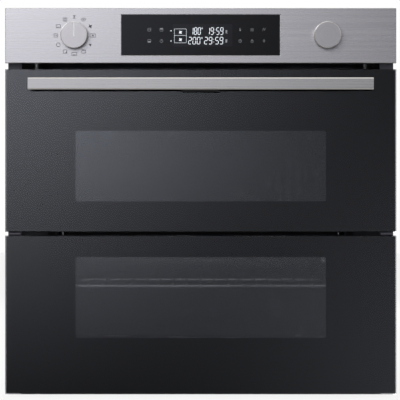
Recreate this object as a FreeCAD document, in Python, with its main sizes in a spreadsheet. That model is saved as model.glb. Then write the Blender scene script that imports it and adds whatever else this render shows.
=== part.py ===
"""Built-in wall oven with a split drop-down door, as a parametric document of separate pieces.

Frame: +Z up, the front faces -Y, +X to the right seen from the front. The origin is the middle of the
whole oven's footprint, at the level that the base plate rests on. All sizes are millimetres.
"""

import FreeCAD, Part
import math
import os

import Sketcher
from FreeCAD import Placement, Rotation, Vector

doc = FreeCAD.newDocument("wall_oven")

# ---------------------------------------------------------------- driving dimensions

DRIVING = {
    # the visible front, from the bottom edge up
    "front_width": 595.0,
    "door_foot": 3.0,
    "lower_height": 241.5,
    "split_gap": 5.3,
    "upper_height": 247.9,
    "vent_gap": 9.1,
    "panel_height": 83.7,
    # the overall depth, from the handle to the rear cover
    "handle_reach": 43.0,
    "front_depth": 21.0,
    "body_depth": 549.0,
    # casing and front frame
    "casing_sheet": 1.0,
    "frame_sheet": 1.5,
    "casing_drop": 18.5,
    "flange_inset": 3.5,
    "flange_width": 19.0,
    "flange_foot": 10.0,
    "sill_height": 46.0,
    "toe_depth": 46.0,
    "niche_screw_radius": 2.5,
    "niche_screw_low": 56.0,
    "niche_screw_high": 90.0,
    # cavity
    "wall_space": 55.0,
    "roof_space": 57.7,
    "rear_space": 87.5,
    "cavity_floor": 72.0,
    "cavity_sheet": 1.2,
    "cavity_corner": 12.0,
    "insulation_thick": 24.0,
    "soft_gap": 0.4,
    "element_space": 13.0,
    "tube_radius": 3.25,
    "seal_gap": 3.5,
    "seal_width": 11.0,
    "seal_clear": 0.5,
    # fans and their covers
    "cover_depth": 30.0,
    "cover_margin": 20.0,
    "cover_half_width": 186.0,
    "shaft_radius": 4.0,
    "run_clear": 0.05,
    "blade_count": 20.0,
    # racks and the divider
    "rack_wire": 2.5,
    "rack_height": 165.3,
    "rack_rod": 3.0,
    "grid_wire": 1.5,
    "grid_pitch": 21.6,
    "rack_front": 62.0,
    "rack_rear_gap": 22.5,
    "divider_thick": 14.0,
    "divider_back_gap": 4.0,
    # control panel
    "fascia_sheet": 1.0,
    "display_width": 242.7,
    "display_height": 63.5,
    "display_drop": 9.4,
    "display_clear": 0.2,
    "display_sheet": 3.0,
    "knob_inset": 105.2,
    "knob_radius": 20.35,
    "knob_height": 21.0,
    "knob_gap": 0.8,
    "knob_wall": 2.5,
    "stem_radius": 3.0,
    "carrier_depth": 60.0,
    "carrier_wall": 2.0,
    # cooling air
    "duct_height": 9.5,
    "duct_inset": 25.0,
    "duct_end": 300.0,
    "blower_half": 150.0,
    "blower_depth": 92.0,
    "blower_wall": 1.5,
    "blower_radius": 30.0,
    # doors
    "glass": 4.0,
    "middle_glass": 3.0,
    "glass_bevel": 1.0,
    "door_depth": 37.5,
    "door_sheet": 1.5,
    "stile_inset": 29.5,
    "stile_width": 32.0,
    "trim": 2.0,
    "lower_stile_foot": 34.0,
    # hinges
    "hinge_inset": 25.0,
    "hinge_depth": 14.0,
    "hinge_rise": 18.0,
    "hinge_pin": 3.0,
    "arm_thick": 4.0,
    "arm_half_height": 6.0,
    "knuckle_radius": 2.4,
    "knuckle_depth": 3.2,
    "knuckle_pin": 1.2,
    "knuckle_inset": 5.5,
    "knuckle_length": 18.0,
    # handle and latch
    "handle_inset": 36.8,
    "handle_height": 17.85,
    "handle_thick": 12.0,
    "handle_drop": 23.5,
    "handle_bevel": 1.6,
    "post_inset": 8.0,
    "post_width": 36.0,
    "lever_half": 28.5,
    "rod_radius": 2.5,
    "rod_travel": 12.0,
}

table = doc.addObject("Spreadsheet::Sheet", "sizes")
for row, (alias, number) in enumerate(DRIVING.items(), 1):
    table.set(f"A{row}", alias)
    table.set(f"B{row}", str(number))
    table.setAlias(f"B{row}", alias)
doc.recompute()


class Size:
    """A length that carries its value and the spreadsheet formula that it comes from."""

    def __init__(self, value, formula):
        self.value = value
        self.formula = formula

    def __float__(self):
        return self.value

    def __add__(self, other):
        other = size(other)
        return Size(self.value + other.value, f"({self.formula} + {other.formula})")

    def __sub__(self, other):
        other = size(other)
        return Size(self.value - other.value, f"({self.formula} - {other.formula})")

    def __mul__(self, other):
        other = size(other)
        return Size(self.value * other.value, f"({self.formula} * {other.formula})")

    def __truediv__(self, other):
        other = size(other)
        return Size(self.value / other.value, f"({self.formula} / {other.formula})")

    def __radd__(self, other):
        return size(other) + self

    def __rsub__(self, other):
        return size(other) - self

    def __rmul__(self, other):
        return size(other) * self

    def __neg__(self):
        return Size(-self.value, f"(0 - {self.formula})")


def size(number):
    """The number as a Size, whether it is one already or a plain number."""
    return number if isinstance(number, Size) else Size(float(number), f"{float(number):.6g}")


def smaller(one, other):
    return Size(min(one.value, other.value), f"min({one.formula}; {other.formula})")


class Driving:
    """The spreadsheet's sizes as attributes."""

    def __getattr__(self, alias):
        return Size(float(table.get(alias)), f"sizes.{alias}")


s = Driving()

# ---------------------------------------------------------------- places worked out from them

half_front = s.front_width / 2
front_y = s.handle_reach - (s.handle_reach + s.front_depth + s.body_depth) / 2
niche_y = front_y + s.front_depth
rear_y = niche_y + s.body_depth

lower_z0 = s.door_foot
lower_z1 = lower_z0 + s.lower_height
split_z = lower_z1 + s.split_gap / 2
upper_z0 = lower_z1 + s.split_gap
upper_z1 = upper_z0 + s.upper_height
panel_z0 = upper_z1 + s.vent_gap
panel_z1 = panel_z0 + s.panel_height
casing_z1 = panel_z1 - s.casing_drop

flange_x = half_front - s.flange_inset
return_x = flange_x - s.flange_width
face_y0 = front_y + s.door_depth + s.seal_gap
face_y1 = face_y0 + s.frame_sheet
toe_y0 = front_y + s.toe_depth
toe_y1 = toe_y0 + s.frame_sheet
frame_z1 = upper_z1 - 0.7
flange_z1 = panel_z1 - s.flange_inset

cavity_x = return_x - s.wall_space
cavity_z0 = s.cavity_floor
cavity_z1 = upper_z1 - s.roof_space
cavity_y1 = rear_y - s.rear_space
wall_x = cavity_x + s.cavity_sheet
back_y = cavity_y1 + s.cavity_sheet
wool_x = wall_x + s.soft_gap + s.insulation_thick
wool_z1 = cavity_z1 + s.cavity_sheet + s.soft_gap + s.insulation_thick
wool_y1 = back_y + s.soft_gap + s.insulation_thick

divider_z0 = split_z - 4
divider_z1 = divider_z0 + s.divider_thick
# each zone: the middle and half the height of the fan space at the cavity's back
lower_fan_z = (cavity_z0 + divider_z0) / 2
upper_fan_z = (divider_z1 + cavity_z1) / 2
lower_cover_half = (divider_z0 - cavity_z0) / 2 - s.cover_margin
upper_cover_half = (cavity_z1 - divider_z1) / 2 - s.cover_margin
cover_y0 = cavity_y1 - s.cover_depth

post_x = cavity_x - 7
support_x = cavity_x - 16
rack_y0 = front_y + s.rack_front
rack_y1 = cover_y0 - s.rack_rear_gap
side_y0 = front_y + 80
side_y1 = cavity_y1 - 62.5

knob_x = half_front - s.knob_inset
knob_z = (panel_z0 + panel_z1) / 2
display_z1 = panel_z1 - s.display_drop
display_z0 = display_z1 - s.display_height
plate_y0 = front_y + 12
plate_y1 = plate_y0 + s.carrier_wall
carrier_x = return_x - 35
carrier_z0 = panel_z0 + 2.5
carrier_z1 = casing_z1 - 2

duct_z0 = frame_z1
duct_z1 = duct_z0 + s.casing_sheet + s.duct_height
duct_x = return_x - s.duct_inset
duct_y1 = front_y + s.duct_end
blower_y1 = duct_y1 + s.blower_depth
blower_z0 = wool_z1 + s.soft_gap
blower_z1 = casing_z1 - 9
blower_y = duct_y1 + s.blower_depth / 2
blower_z = (blower_z0 + blower_z1) / 2

stile_x1 = half_front - s.stile_inset
stile_x0 = stile_x1 - s.stile_width
stile_y0 = front_y + s.glass
stile_y1 = front_y + s.door_depth - s.glass
middle_y0 = front_y + 17
middle_y1 = middle_y0 + s.middle_glass
inner_x = stile_x1 - 6
hinge_x = return_x - s.hinge_inset
hinge_y = front_y + s.hinge_depth
hinge_z = s.hinge_rise
knuckle_y = front_y + s.knuckle_depth
knuckle_x1 = half_front - s.knuckle_inset
knuckle_x0 = knuckle_x1 - s.knuckle_length

bar_x = half_front - s.handle_inset
bar_z = upper_z1 - s.handle_drop
bar_y0 = front_y - s.handle_reach
bar_y1 = bar_y0 + s.handle_thick
post_mid_x = bar_x - s.post_inset - s.post_width / 2
lever_z = bar_z + 5
lever_y = bar_y1 + 4

# ---------------------------------------------------------------- ways to make a piece


def bind(thing, **lengths):
    """Ties properties of a document object to the spreadsheet."""
    for name, length in lengths.items():
        thing.setExpression(name, size(length).formula)
    return thing


def place(thing, x=0, y=0, z=0):
    for axis, length in (("x", x), ("y", y), ("z", z)):
        thing.setExpression(f"Placement.Base.{axis}", size(length).formula)
    return thing


def slab(name, x, y, z):
    """A box between two places along each axis."""
    made = doc.addObject("Part::Box", name)
    bind(made, Length=size(x[1]) - x[0], Width=size(y[1]) - y[0], Height=size(z[1]) - z[0])
    return place(made, x[0], y[0], z[0])


TURNS = {
    "x": Rotation(Vector(0, 1, 0), 90),
    "y": Rotation(Vector(1, 0, 0), -90),
    "z": Rotation(),
}


def round_bar(name, axis, start, radius, length):
    """A cylinder that runs from its start along +X, +Y or +Z."""
    made = doc.addObject("Part::Cylinder", name)
    made.Placement = Placement(Vector(), TURNS[axis])
    bind(made, Radius=radius, Height=length)
    return place(made, *start)


def fuse(name, pieces):
    made = doc.addObject("Part::MultiFuse", name)
    made.Shapes = pieces
    made.Refine = True
    return made


def group(name, pieces):
    """Separate solids that share one node."""
    made = doc.addObject("Part::Compound", name)
    made.Links = pieces
    return made


def cut(name, base, tools):
    made = doc.addObject("Part::Cut", name)
    made.Base = base
    made.Tool = tools[0] if len(tools) == 1 else group(name + "_tools", tools)
    return made


def mirrored(name, source):
    """The same piece on the other side of the middle plane."""
    made = doc.addObject("Part::Mirroring", name)
    made.Source = source
    made.Normal = Vector(1, 0, 0)
    return made


def both_sides(name, piece):
    return group(name, [piece, mirrored(name + "_mirrored", piece)])


def plane_of(body, role):
    return next(item for item in body.Origin.OriginFeatures if item.Role == role)


def new_sketch(body, name, role):
    sketch = body.newObject("Sketcher::SketchObject", name)
    sketch.AttachmentSupport = [(plane_of(body, role), "")]
    sketch.MapMode = "FlatFace"
    return sketch


def add_outline(sketch, points):
    """A closed run of straight lines whose corners are held from the sketch's origin."""
    first = sketch.GeometryCount
    count = len(points)
    corners = [Vector(float(size(u)), float(size(v)), 0) for u, v in points]
    for k in range(count):
        sketch.addGeometry(Part.LineSegment(corners[k], corners[(k + 1) % count]), False)
    for k in range(count):
        sketch.addConstraint(Sketcher.Constraint("Coincident", first + k, 2, first + (k + 1) % count, 1))
    for k, (u, v) in enumerate(points):
        for kind, length in (("DistanceX", size(u)), ("DistanceY", size(v))):
            held = sketch.addConstraint(Sketcher.Constraint(kind, -1, 1, first + k, 1, length.value))
            sketch.setExpression(f"Constraints[{held}]", length.formula)


def add_rectangle(sketch, u, v):
    add_outline(sketch, [(u[0], v[0]), (u[1], v[0]), (u[1], v[1]), (u[0], v[1])])


def add_circle(sketch, u, v, radius):
    radius = size(radius)
    middle = Vector(float(size(u)), float(size(v)), 0)
    ring = sketch.addGeometry(Part.Circle(middle, Vector(0, 0, 1), radius.value), False)
    for kind, length in (("DistanceX", size(u)), ("DistanceY", size(v))):
        held = sketch.addConstraint(Sketcher.Constraint(kind, -1, 1, ring, 3, length.value))
        sketch.setExpression(f"Constraints[{held}]", length.formula)
    held = sketch.addConstraint(Sketcher.Constraint("Radius", ring, radius.value))
    sketch.setExpression(f"Constraints[{held}]", radius.formula)


PLANES = {"front": "XZ_Plane", "level": "XY_Plane", "side": "YZ_Plane"}


def new_body(name):
    return doc.addObject("PartDesign::Body", name)


def add_pad(body, sketch, length, backwards=False):
    pad = body.newObject("PartDesign::Pad", sketch.Name + "_pad")
    pad.Profile = sketch
    pad.Reversed = backwards
    return bind(pad, Length=length)


def extruded(name, plane, draw, length, at):
    """A body whose one sketch, drawn by draw(sketch), is padded along +Y, +Z or +X from a place."""
    body = new_body(name)
    sketch = new_sketch(body, name + "_outline", PLANES[plane])
    draw(sketch)
    add_pad(body, sketch, length, backwards=plane == "front")
    axis = {"front": "y", "level": "z", "side": "x"}[plane]
    return place(body, **{axis: at})


def add_pocket(body, sketch, length, backwards):
    """A pocket of a stated depth; one that removes nothing stops the build."""
    doc.recompute()
    before = body.Tip.Shape.Volume
    pocket = body.newObject("PartDesign::Pocket", sketch.Name + "_pocket")
    pocket.Profile = sketch
    pocket.Reversed = backwards
    bind(pocket, Length=length)
    doc.recompute()
    if not pocket.Shape.Volume < before - 1e-6:
        raise ValueError(f"{pocket.Name} cuts nothing")
    return pocket


def add_repeat(body, feature, sketch, kind, count, reach):
    """Repeats a feature along the sketch's level axis, or round the axis that stands on it."""
    pattern = body.newObject(f"PartDesign::{kind}Pattern", f"{feature.Name}_{kind}")
    pattern.Originals = [feature]
    if kind == "Linear":
        pattern.Direction = (sketch, ["H_Axis"])
        bind(pattern, Length=reach)
    else:
        pattern.Axis = (sketch, ["N_Axis"])
        bind(pattern, Angle=reach)
    bind(pattern, Occurrences=count)
    body.Tip = pattern
    doc.recompute()
    return pattern


def edges_where(shape, test):
    """Names of the straight edges whose two ends pass the test."""
    found = []
    for number, edge in enumerate(shape.Edges, 1):
        ends = [v.Point for v in edge.Vertexes]
        if len(ends) == 2 and test(*ends):
            found.append(f"Edge{number}")
    return found


def dress(body, kind, test, amount):
    """A PartDesign Fillet or Chamfer on the straight edges that pass the test, in the body's own frame."""
    doc.recompute()
    base = body.Tip
    edges = edges_where(base.Shape, test)
    made = body.newObject(f"PartDesign::{kind}", f"{body.Name}_{kind}_{len(body.Group)}")
    made.Base = (base, edges)
    bind(made, **{"Radius" if kind == "Fillet" else "Size": amount})
    body.Tip = made
    doc.recompute()
    return made


def runs_along(axis):
    """A test for edges that are parallel to an axis."""
    def test(start, end):
        way = end - start
        across = [abs(getattr(way, other)) for other in "xyz" if other != axis]
        return max(across) < 1e-6
    return test


def rounded_path(corners, radius):
    """A wire through the corners in straight runs, joined by tangent arcs of one radius."""
    points = [Vector(*[float(size(c)) for c in corner]) for corner in corners]
    edges = []
    start = points[0]
    for before, corner, after in zip(points, points[1:], points[2:]):
        came = (before - corner).normalize()
        goes = (after - corner).normalize()
        half_turn = came.getAngle(goes) / 2
        back = radius / math.tan(half_turn)
        middle = corner + (came + goes).normalize() * (radius / math.sin(half_turn) - radius)
        arc_start = corner + came * back
        arc_end = corner + goes * back
        edges.append(Part.LineSegment(start, arc_start).toShape())
        edges.append(Part.Arc(arc_start, middle, arc_end).toShape())
        start = arc_end
    edges.append(Part.LineSegment(start, points[-1]).toShape())
    return Part.Wire(edges)


def bent_tube(corners, bend, radius):
    """The solid of a round bar bent along a path."""
    path = rounded_path(corners, bend)
    radius = float(radius)
    first = path.Edges[0]
    section = Part.Wire(Part.makeCircle(radius, first.Vertexes[0].Point, first.tangentAt(first.FirstParameter)))
    return path.makePipeShell([section], True, False)


def straight_bar(start, end, radius):
    start = Vector(*[float(size(c)) for c in start])
    end = Vector(*[float(size(c)) for c in end])
    return Part.makeCylinder(float(radius), (end - start).Length, start, end - start)


def shaped(name, shape):
    made = doc.addObject("Part::Feature", name)
    made.Shape = shape
    return made


NODES = {}


def node(name, piece):
    """Gives a sub-part the name that its file takes."""
    piece.Label = name
    NODES[name] = piece
    return piece


# ---------------------------------------------------------------- casing


def vent_row(body, name, role, first, slot, count, reach, depth, backwards):
    """A row of upright slots through a flat panel."""
    sketch = new_sketch(body, name, role)
    u, v = first
    add_rectangle(sketch, (u, u + slot[0]), (v, v + slot[1]))
    pocket = add_pocket(body, sketch, depth, backwards)
    add_repeat(body, pocket, sketch, "Linear", count, reach)


def make_side_panel():
    # the foot of the open door swings into the notch at the lower front corner
    outline = [(toe_y0, 0), (rear_y, 0), (rear_y, casing_z1), (niche_y, casing_z1), (niche_y, s.flange_foot),
               (toe_y0, s.flange_foot)]
    panel = extruded("side_panel", "side", lambda k: add_outline(k, outline), s.casing_sheet, return_x)
    vent_row(panel, "side_vents", "YZ_Plane", (rear_y - 150, casing_z1 - 70), (4, 40), 10, 108,
             s.casing_sheet, True)
    return panel


side_panel = node("side_panel_right", make_side_panel())
node("side_panel_left", mirrored("side_panel_other", side_panel))

node("top_cover", extruded(
    "top_cover", "level",
    lambda k: add_rectangle(k, (-return_x, return_x), (face_y1, rear_y - s.casing_sheet)),
    s.casing_sheet, casing_z1 - s.casing_sheet))
node("base_plate", extruded(
    "base_plate", "level",
    lambda k: add_rectangle(k, (-return_x, return_x), (toe_y1, rear_y - s.casing_sheet)),
    s.casing_sheet, 0))

CABLE_X = -return_x + 60
CABLE_Z = casing_z1 - 110
CABLE_RADIUS = 8


def draw_rear_cover(sketch):
    add_rectangle(sketch, (-return_x, return_x), (0, casing_z1))
    add_circle(sketch, CABLE_X, CABLE_Z, CABLE_RADIUS)


rear_cover = extruded("rear_cover", "front", draw_rear_cover, s.casing_sheet, rear_y - s.casing_sheet)
vent_row(rear_cover, "rear_vents", "XZ_Plane", (-60, lower_fan_z - 20), (5, 60), 13, 120, s.casing_sheet, False)
vent_row(rear_cover, "rear_vents_high", "XZ_Plane", (-60, upper_fan_z - 20), (5, 60), 13, 120, s.casing_sheet,
         False)
node("rear_cover", rear_cover)

screws = []
for row_z in (30, casing_z1 - 20):
    for column in range(4):
        column_y = niche_y + 40 + (s.body_depth - 80) * (column / 3)
        screws.append(round_bar("casing_screw", "x", (return_x + s.casing_sheet, column_y, row_z), 3.5, 1.8))
node("casing_screws", both_sides("casing_screws", group("casing_screws_right", screws)))

# ---------------------------------------------------------------- front frame


def make_front_frame():
    face = extruded(
        "frame_face", "front",
        lambda k: (
            add_rectangle(k, (-return_x, return_x), (s.sill_height, frame_z1)),
            add_rectangle(k, (-cavity_x, cavity_x), (cavity_z0, cavity_z1)),
        ),
        s.frame_sheet, face_y0)
    sheet = s.frame_sheet
    side = slab("frame_return", (return_x - sheet, return_x), (niche_y - sheet, face_y1), (s.flange_foot, flange_z1))
    flange = slab("frame_flange", (return_x - sheet, flange_x), (niche_y - sheet, niche_y), (s.flange_foot, flange_z1))
    low = s.flange_foot + s.niche_screw_low
    high = upper_z1 - s.niche_screw_high
    holes = [
        round_bar("niche_hole", "y", (return_x + s.flange_width / 2, niche_y - 2 * sheet, z), s.niche_screw_radius,
                  3 * sheet)
        for z in (low, high)
    ]
    right = cut("frame_right", fuse("frame_wing", [side, flange]), holes)
    sill = slab("frame_sill", (-return_x + sheet, return_x - sheet), (face_y0, toe_y1), (s.sill_height - sheet, s.sill_height))
    toe = slab("frame_toe", (-return_x + sheet, return_x - sheet), (toe_y0, toe_y1), (s.casing_sheet, s.sill_height))
    arm_half = s.arm_thick / 2 + 1
    slot = slab("arm_slot", (hinge_x - arm_half, hinge_x + arm_half), (toe_y0 - 1, toe_y1 + 1),
                (hinge_z - s.arm_half_height - 1, hinge_z + s.arm_half_height + 1))
    whole = fuse("frame_whole", [face, right, mirrored("frame_left", right), sill, toe])
    return cut("front_frame", whole, [slot, mirrored("arm_slot_left", slot)])


node("front_frame", make_front_frame())

gasket_grow = s.seal_width + 3


def draw_gasket(sketch):
    add_rectangle(sketch, (-cavity_x - gasket_grow, cavity_x + gasket_grow),
                  (cavity_z0 - gasket_grow, cavity_z1 + gasket_grow))
    add_rectangle(sketch, (-cavity_x - 3, cavity_x + 3), (cavity_z0 - 3, cavity_z1 + 3))


gasket_depth = s.seal_gap - s.seal_clear
node("cavity_gasket", extruded("cavity_gasket", "front", draw_gasket, gasket_depth, face_y0 - gasket_depth))

# ---------------------------------------------------------------- cavity and its wrapping

LAMP_RADIUS = 26
LAMP_Y = cavity_y1 - 110
PROBE_X = cavity_x - 12
FLUE = (cavity_x - 100, face_y1 + 190)
FLUE_RADIUS = 12
FLUE_BORE = 10.5
TERMINAL_X = 25
# the ring heater's legs meet the ring a little below its top
LEG_DROP = 0.8
grill_z = cavity_z1 - 14
ring_radius_low = lower_cover_half - 2 - s.tube_radius
ring_radius_high = upper_cover_half - 2 - s.tube_radius
ring_y = cavity_y1 - 14

BACK_HOLES = [
    (0, lower_fan_z, s.shaft_radius + 2),
    (0, upper_fan_z, s.shaft_radius + 2),
    (PROBE_X, lower_fan_z + 40, 3),
    (PROBE_X, upper_fan_z + 40, 3),
    (-TERMINAL_X, grill_z, s.tube_radius + 0.4),
    (TERMINAL_X, grill_z, s.tube_radius + 0.4),
    (-TERMINAL_X / 2, lower_fan_z + ring_radius_low - LEG_DROP, s.tube_radius + 0.4),
    (TERMINAL_X / 2, lower_fan_z + ring_radius_low - LEG_DROP, s.tube_radius + 0.4),
    (-TERMINAL_X / 2, upper_fan_z + ring_radius_high - LEG_DROP, s.tube_radius + 0.4),
    (TERMINAL_X / 2, upper_fan_z + ring_radius_high - LEG_DROP, s.tube_radius + 0.4),
]


def make_cavity():
    body = new_body("cavity_shell")
    sheet = s.cavity_sheet
    outer = new_sketch(body, "cavity_outside", "XZ_Plane")
    add_rectangle(outer, (-wall_x, wall_x), (cavity_z0 - sheet, cavity_z1 + sheet))
    add_pad(body, outer, back_y - face_y1, backwards=True)
    inner = new_sketch(body, "cavity_inside", "XZ_Plane")
    add_rectangle(inner, (-cavity_x, cavity_x), (cavity_z0, cavity_z1))
    add_pocket(body, inner, cavity_y1 - face_y1, backwards=False)
    inside = float(cavity_x) + 0.01
    low = float(cavity_z0) - 0.01
    high = float(cavity_z1) + 0.01

    def inside_corner(start, end):
        return runs_along("y")(start, end) and abs(start.x) < inside and low < start.z < high

    dress(body, "Fillet", inside_corner, s.cavity_corner)
    dress(body, "Fillet", lambda a, b: runs_along("y")(a, b) and abs(a.x) > inside, s.cavity_corner + sheet)
    back = new_sketch(body, "cavity_back_holes", "XZ_Plane")
    for u, v, radius in BACK_HOLES:
        add_circle(back, u, v, radius)
    add_pocket(body, back, back_y - face_y1 + 1, backwards=False)
    roof = new_sketch(body, "cavity_flue_hole", "XY_Plane")
    add_circle(roof, FLUE[0], FLUE[1] - face_y1, FLUE_BORE)
    add_pocket(body, roof, cavity_z1 + 2, backwards=True)
    place(body, y=face_y1)
    return body


cavity_whole = make_cavity()


def lamp_bore(name, side, z, radius, reach):
    """A round tool through the side wall at a lamp; side is 1 on the right and -1 on the left."""
    start = wall_x - reach / 2 if side > 0 else -wall_x - reach / 2
    return round_bar(name, "x", (start, LAMP_Y, z), radius, reach)


flue_x, flue_y = FLUE
# the flue hole's pocket also meets the floor, so the floor's disc goes back in
floor_patch = round_bar("floor_patch", "z", (flue_x, flue_y, cavity_z0 - s.cavity_sheet), FLUE_BORE, s.cavity_sheet)
patched = fuse("cavity_patched", [cavity_whole, floor_patch])
node("cavity_shell", cut("cavity_with_lamps", patched, [
    lamp_bore("lamp_bore_high", -1, upper_fan_z, LAMP_RADIUS, 20),
    lamp_bore("lamp_bore_low", 1, lower_fan_z, LAMP_RADIUS, 20),
]))


def make_insulation():
    gap = s.soft_gap
    outer = slab("wool_outside", (-wool_x, wool_x), (toe_y1 + 0.5, wool_y1),
                 (cavity_z0 - s.cavity_sheet - s.element_space - 12, wool_z1))
    inner = slab("wool_inside", (-wall_x - gap, wall_x + gap), (toe_y1 - 5, back_y + gap),
                 (cavity_z0 - s.cavity_sheet - gap, cavity_z1 + s.cavity_sheet + gap))
    under = slab("wool_element_space", (-cavity_x + 20, cavity_x - 20), (toe_y1 + 30, wool_y1 + 5),
                 (cavity_z0 - s.cavity_sheet - s.element_space, cavity_z0 - s.cavity_sheet))
    tools = [inner, under]
    for u, v, radius in BACK_HOLES:
        tools.append(round_bar("wool_hole", "y", (u, back_y - 5, v), radius + 2, wool_y1 - back_y + 10))
    for side, z in ((-1, upper_fan_z), (1, lower_fan_z)):
        tools.append(lamp_bore("wool_lamp_hole", side, z, LAMP_RADIUS + 5, 70))
    for z in (lower_fan_z, upper_fan_z):
        for u in (-30, 30):
            for v in (-30, 30):
                tools.append(round_bar("wool_leg_hole", "y", (u, back_y - 5, z + v), 4.5, wool_y1 - back_y + 10))
    tools.append(round_bar("wool_flue_hole", "z", (flue_x, flue_y, cavity_z1 - 5), FLUE_RADIUS + 0.5, 60))
    return cut("insulation", outer, tools)


node("insulation", make_insulation())

# ---------------------------------------------------------------- heating

BEND = 18.0


def make_grill():
    z = grill_z
    back = back_y + 12
    near = face_y1 + 34
    far = cover_y0 - 32
    loop = face_y1 + 62
    x0, x1, x2 = TERMINAL_X, cavity_x - 130, cavity_x - 70
    half = [(x0, back, z), (x0, loop, z), (x1, loop, z), (x1, far, z), (x2, far, z), (x2, near, z)]
    corners = [(-u, v, w) for u, v, w in half] + [(u, v, w) for u, v, w in reversed(half)]
    tube = bent_tube(corners, BEND, s.tube_radius)
    hangers = []
    for u, v in ((-x2, (near + far) / 2), (x2, (near + far) / 2), (0, near)):
        top = float(cavity_z1)
        hangers.append(Part.makeBox(6, 6, top - float(z), Vector(float(size(u)) - 3, float(size(v)) - 3, float(z))))
    return tube.fuse(hangers)


node("grill_element", shaped("grill_element", make_grill()))


def make_bottom_element():
    z = cavity_z0 - s.cavity_sheet - s.element_space / 2 - 0.5
    back = wool_y1 + 4
    near = toe_y1 + 50
    far = back_y - 40
    x0, x1, x2 = size(60), cavity_x - 110, cavity_x - 50
    half = [(x0, back, z), (x0, far - 40, z), (x1, far - 40, z), (x1, far, z), (x2, far, z), (x2, near, z)]
    corners = [(-u, v, w) for u, v, w in half] + [(u, v, w) for u, v, w in reversed(half)]
    tube = bent_tube(corners, BEND, s.tube_radius)
    top = float(cavity_z0 - s.cavity_sheet)
    clips = []
    for u, v in ((-x2, (near + far) / 2), (x2, (near + far) / 2), (0, near)):
        clips.append(Part.makeBox(6, 6, top - float(z), Vector(float(size(u)) - 3, float(size(v)) - 3, float(z))))
    return tube.fuse(clips)


node("bottom_element", shaped("bottom_element", make_bottom_element()))


def make_ring_heater(name, z, radius):
    ring = doc.addObject("Part::Torus", name + "_ring")
    ring.Placement = Placement(Vector(), TURNS["y"])
    bind(ring, Radius1=radius, Radius2=s.tube_radius)
    place(ring, 0, ring_y, z)
    legs = [
        round_bar(name + "_leg", "y", (x, ring_y, z + radius - LEG_DROP), s.tube_radius, wool_y1 + 6 - ring_y)
        for x in (-TERMINAL_X / 2, TERMINAL_X / 2)
    ]
    return fuse(name, [ring, *legs])


node("ring_heaters", group("ring_heaters", [
    make_ring_heater("ring_low", lower_fan_z, ring_radius_low),
    make_ring_heater("ring_high", upper_fan_z, ring_radius_high),
]))

# ---------------------------------------------------------------- convection fans


def make_fan_cover(name, z, half_height):
    """A shallow pan over the fan, with slots for the air to enter at its middle and leave at its sides."""
    body = new_body(name)
    half = s.cover_half_width
    sheet = s.cavity_sheet
    face = new_sketch(body, name + "_face", "XZ_Plane")
    add_rectangle(face, (-half, half), (-half_height, half_height))
    add_pad(body, face, sheet, backwards=True)
    rim = new_sketch(body, name + "_rim", "XZ_Plane")
    add_rectangle(rim, (-half, half), (-half_height, half_height))
    add_rectangle(rim, (-half + sheet, half - sheet), (-half_height + sheet, half_height - sheet))
    add_pad(body, rim, s.cover_depth, backwards=True)
    doc.recompute()
    intake = new_sketch(body, name + "_intake", "XZ_Plane")
    add_rectangle(intake, (-2.5, 2.5), (12, half_height - 30))
    slot = add_pocket(body, intake, sheet, False)
    add_repeat(body, slot, intake, "Polar", 16, 360)
    for sign, label in ((-1, "left"), (1, "right")):
        outlet = new_sketch(body, f"{name}_{label}", "XZ_Plane")
        start = half * sign - (18 if sign > 0 else -12)
        add_rectangle(outlet, (start, start + 6), (-half_height + 15, half_height - 15))
        slot = add_pocket(body, outlet, sheet, False)
        way = add_repeat(body, slot, outlet, "Linear", 4, 48)
        way.Reversed = sign > 0
        doc.recompute()
    return place(body, 0, cover_y0, z)


node("lower_fan_cover", make_fan_cover("lower_fan_cover", lower_fan_z, lower_cover_half))
node("upper_fan_cover", make_fan_cover("upper_fan_cover", upper_fan_z, upper_cover_half))

MOTOR_Y = wool_y1 + 3
MOTOR_DEPTH = 34


def make_fan(name, z, half_height):
    """A bladed wheel on a hub, and the shaft that carries it."""
    radius = half_height - 13
    body = new_body(name + "_wheel")
    disc = new_sketch(body, name + "_disc", "XZ_Plane")
    add_circle(disc, 0, 0, radius)
    add_circle(disc, 0, 0, s.shaft_radius + s.run_clear)
    add_pad(body, disc, 1.5, backwards=True)
    hub = new_sketch(body, name + "_hub", "XZ_Plane")
    add_circle(hub, 0, 0, s.shaft_radius + 4)
    add_circle(hub, 0, 0, s.shaft_radius + s.run_clear)
    add_pad(body, hub, 12, backwards=True)
    doc.recompute()
    blade = new_sketch(body, name + "_blade", "XZ_Plane")
    add_outline(blade, [(-0.6, radius - 24), (0.6, radius - 24), (7.2, radius - 3), (6, radius - 3)])
    pad = add_pad(body, blade, 15, backwards=True)
    doc.recompute()
    add_repeat(body, pad, blade, "Polar", s.blade_count, 360)
    place(body, 0, cover_y0 + 6, z)
    shaft = round_bar(name + "_shaft", "y", (0, cover_y0 + 4, z), s.shaft_radius, MOTOR_Y + MOTOR_DEPTH - cover_y0)
    return group(name, [body, shaft])


node("lower_fan", make_fan("lower_fan", lower_fan_z, lower_cover_half))
node("upper_fan", make_fan("upper_fan", upper_fan_z, upper_cover_half))


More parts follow.
